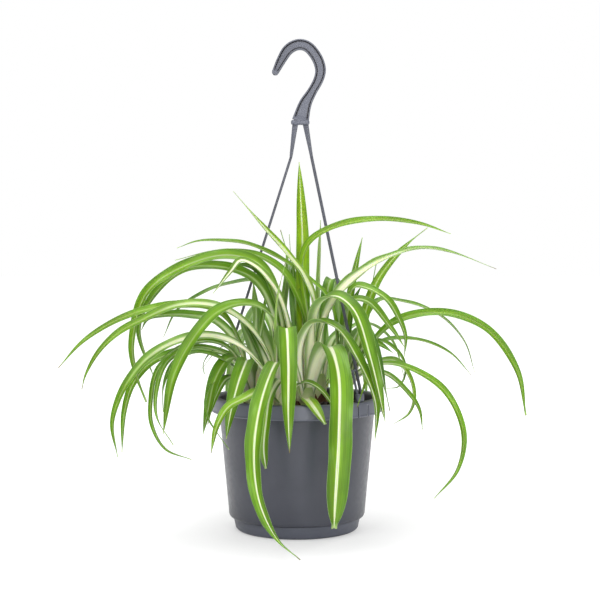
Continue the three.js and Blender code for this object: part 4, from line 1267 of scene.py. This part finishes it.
class FinishSettings(bpy.types.PropertyGroup):
    leaf_tint: paint("Leaf tint", "Colour that the leaves' greens are multiplied by", 255, 255, 255)
    stripe: paint("Stripe", "Cream of a leaf's middle stripe", 226, 230, 206)
    stripe_rib: paint("Stripe rib", "Greener ribs in the middle stripe", 196, 208, 152)
    soil: paint("Soil", "Damp soil", 24, 18, 14)
    soil_bits: paint("Soil bits", "Paler bits in the soil", 58, 42, 30)
    pot: paint("Pot", "Plastic of the pot", 54, 56, 66)
    pot_cloud: paint("Pot clouds", "Soft paler clouds in the pot's plastic", 61, 63, 73)
    tray: paint("Tray", "Plastic of the drip tray", 76, 79, 90)
    tray_cloud: paint("Tray clouds", "Soft paler clouds in the tray's plastic", 82, 85, 97)
    hanger: paint("Hanger", "Plastic of the hook and strands", 92, 95, 106)
    hanger_cloud: paint("Hanger clouds", "Soft paler clouds in the hanger's plastic", 98, 101, 113)


class StageSettings(bpy.types.PropertyGroup):
    lens: number("Lens", "Focal length in millimetres", 91.4, "CAMERA")
    shift: number("Shift", "How far the level camera's frame is raised, in frame widths", -0.135)
    surround: number("Surround", "Brightness of the white walls", 0.2)
    overhead: number("Overhead", "Brightness of the white ceiling", 0.85)
    key: number("Key", "Power of the key light", 18.0, "POWER")
    fill: number("Fill", "Power of the fill light", 11.0, "POWER")
    top: number("Top", "Power of the top light", 33.0, "POWER")
    strips: number("Strips", "Power of each side strip", 3.0, "POWER")


class PLANT_OT_pot(bpy.types.Operator):
    """Builds the pot with its rim band and slits"""

    bl_idname = "plant.pot"
    bl_label = "Pot"

    def execute(self, context):
        build_pot(context.scene.plant_pot)
        return {"FINISHED"}


class PLANT_OT_tray(bpy.types.Operator):
    """Builds the drip tray"""

    bl_idname = "plant.tray"
    bl_label = "Drip tray"

    def execute(self, context):
        build_tray(context.scene.plant_pot)
        return {"FINISHED"}


class PLANT_OT_soil(bpy.types.Operator):
    """Builds the soil with its crumbs"""

    bl_idname = "plant.soil"
    bl_label = "Soil"

    def execute(self, context):
        build_soil(context.scene.plant_pot)
        return {"FINISHED"}


class PLANT_OT_hanger(bpy.types.Operator):
    """Builds the hook, its legs, strands and clips"""

    bl_idname = "plant.hanger"
    bl_label = "Hanger"

    def execute(self, context):
        build_hanger(context.scene.plant_pot)
        return {"FINISHED"}


class PLANT_OT_rosettes(bpy.types.Operator):
    """Builds the rosettes of leaves"""

    bl_idname = "plant.rosettes"
    bl_label = "Rosettes"

    def execute(self, context):
        for name in CROWNS:
            build_rosette(name, context.scene.plant_leaves)
        return {"FINISHED"}


class PLANT_OT_skins(bpy.types.Operator):
    """Builds the pale sheaths and papery scales at the crowns"""

    bl_idname = "plant.skins"
    bl_label = "Sheaths and scales"

    def execute(self, context):
        build_skins(context.scene.plant_leaves)
        return {"FINISHED"}


class PLANT_OT_stage(bpy.types.Operator):
    """Sets the floor, camera, white room and lights"""

    bl_idname = "plant.stage"
    bl_label = "Stage"

    def execute(self, context):
        build_stage(context.scene.plant_stage)
        return {"FINISHED"}


OPERATORS = (
    PLANT_OT_stage, PLANT_OT_tray, PLANT_OT_pot, PLANT_OT_soil, PLANT_OT_hanger, PLANT_OT_rosettes,
    PLANT_OT_skins,
)
SETTINGS = {
    "plant_leaves": PlantSettings, "plant_pot": PotSettings, "plant_finish": FinishSettings,
    "plant_stage": StageSettings,
}


class PLANT_PT_sidebar(bpy.types.Panel):
    bl_label = "Potted spider plant"
    bl_idname = "PLANT_PT_sidebar"
    bl_space_type = "VIEW_3D"
    bl_region_type = "UI"
    bl_category = "Plant"

    def draw(self, context):
        for operator in OPERATORS:
            self.layout.operator(operator.bl_idname)
        for name, settings in SETTINGS.items():
            box = self.layout.box()
            for field in settings.__annotations__:
                box.prop(getattr(context.scene, name), field)


def register():
    for settings in SETTINGS.values():
        bpy.utils.register_class(settings)
    for name, settings in SETTINGS.items():
        setattr(bpy.types.Scene, name, bpy.props.PointerProperty(type=settings))
    for made in (*OPERATORS, PLANT_PT_sidebar):
        bpy.utils.register_class(made)


def unregister():
    for made in (PLANT_PT_sidebar, *reversed(OPERATORS)):
        bpy.utils.unregister_class(made)
    for name, settings in reversed(SETTINGS.items()):
        delattr(bpy.types.Scene, name)
        bpy.utils.unregister_class(settings)


def main():
    register()
    for operator in (bpy.ops.plant.stage, bpy.ops.plant.tray, bpy.ops.plant.pot, bpy.ops.plant.soil,
                     bpy.ops.plant.hanger, bpy.ops.plant.rosettes, bpy.ops.plant.skins):
        operator()


if __name__ == "__main__":
    main()
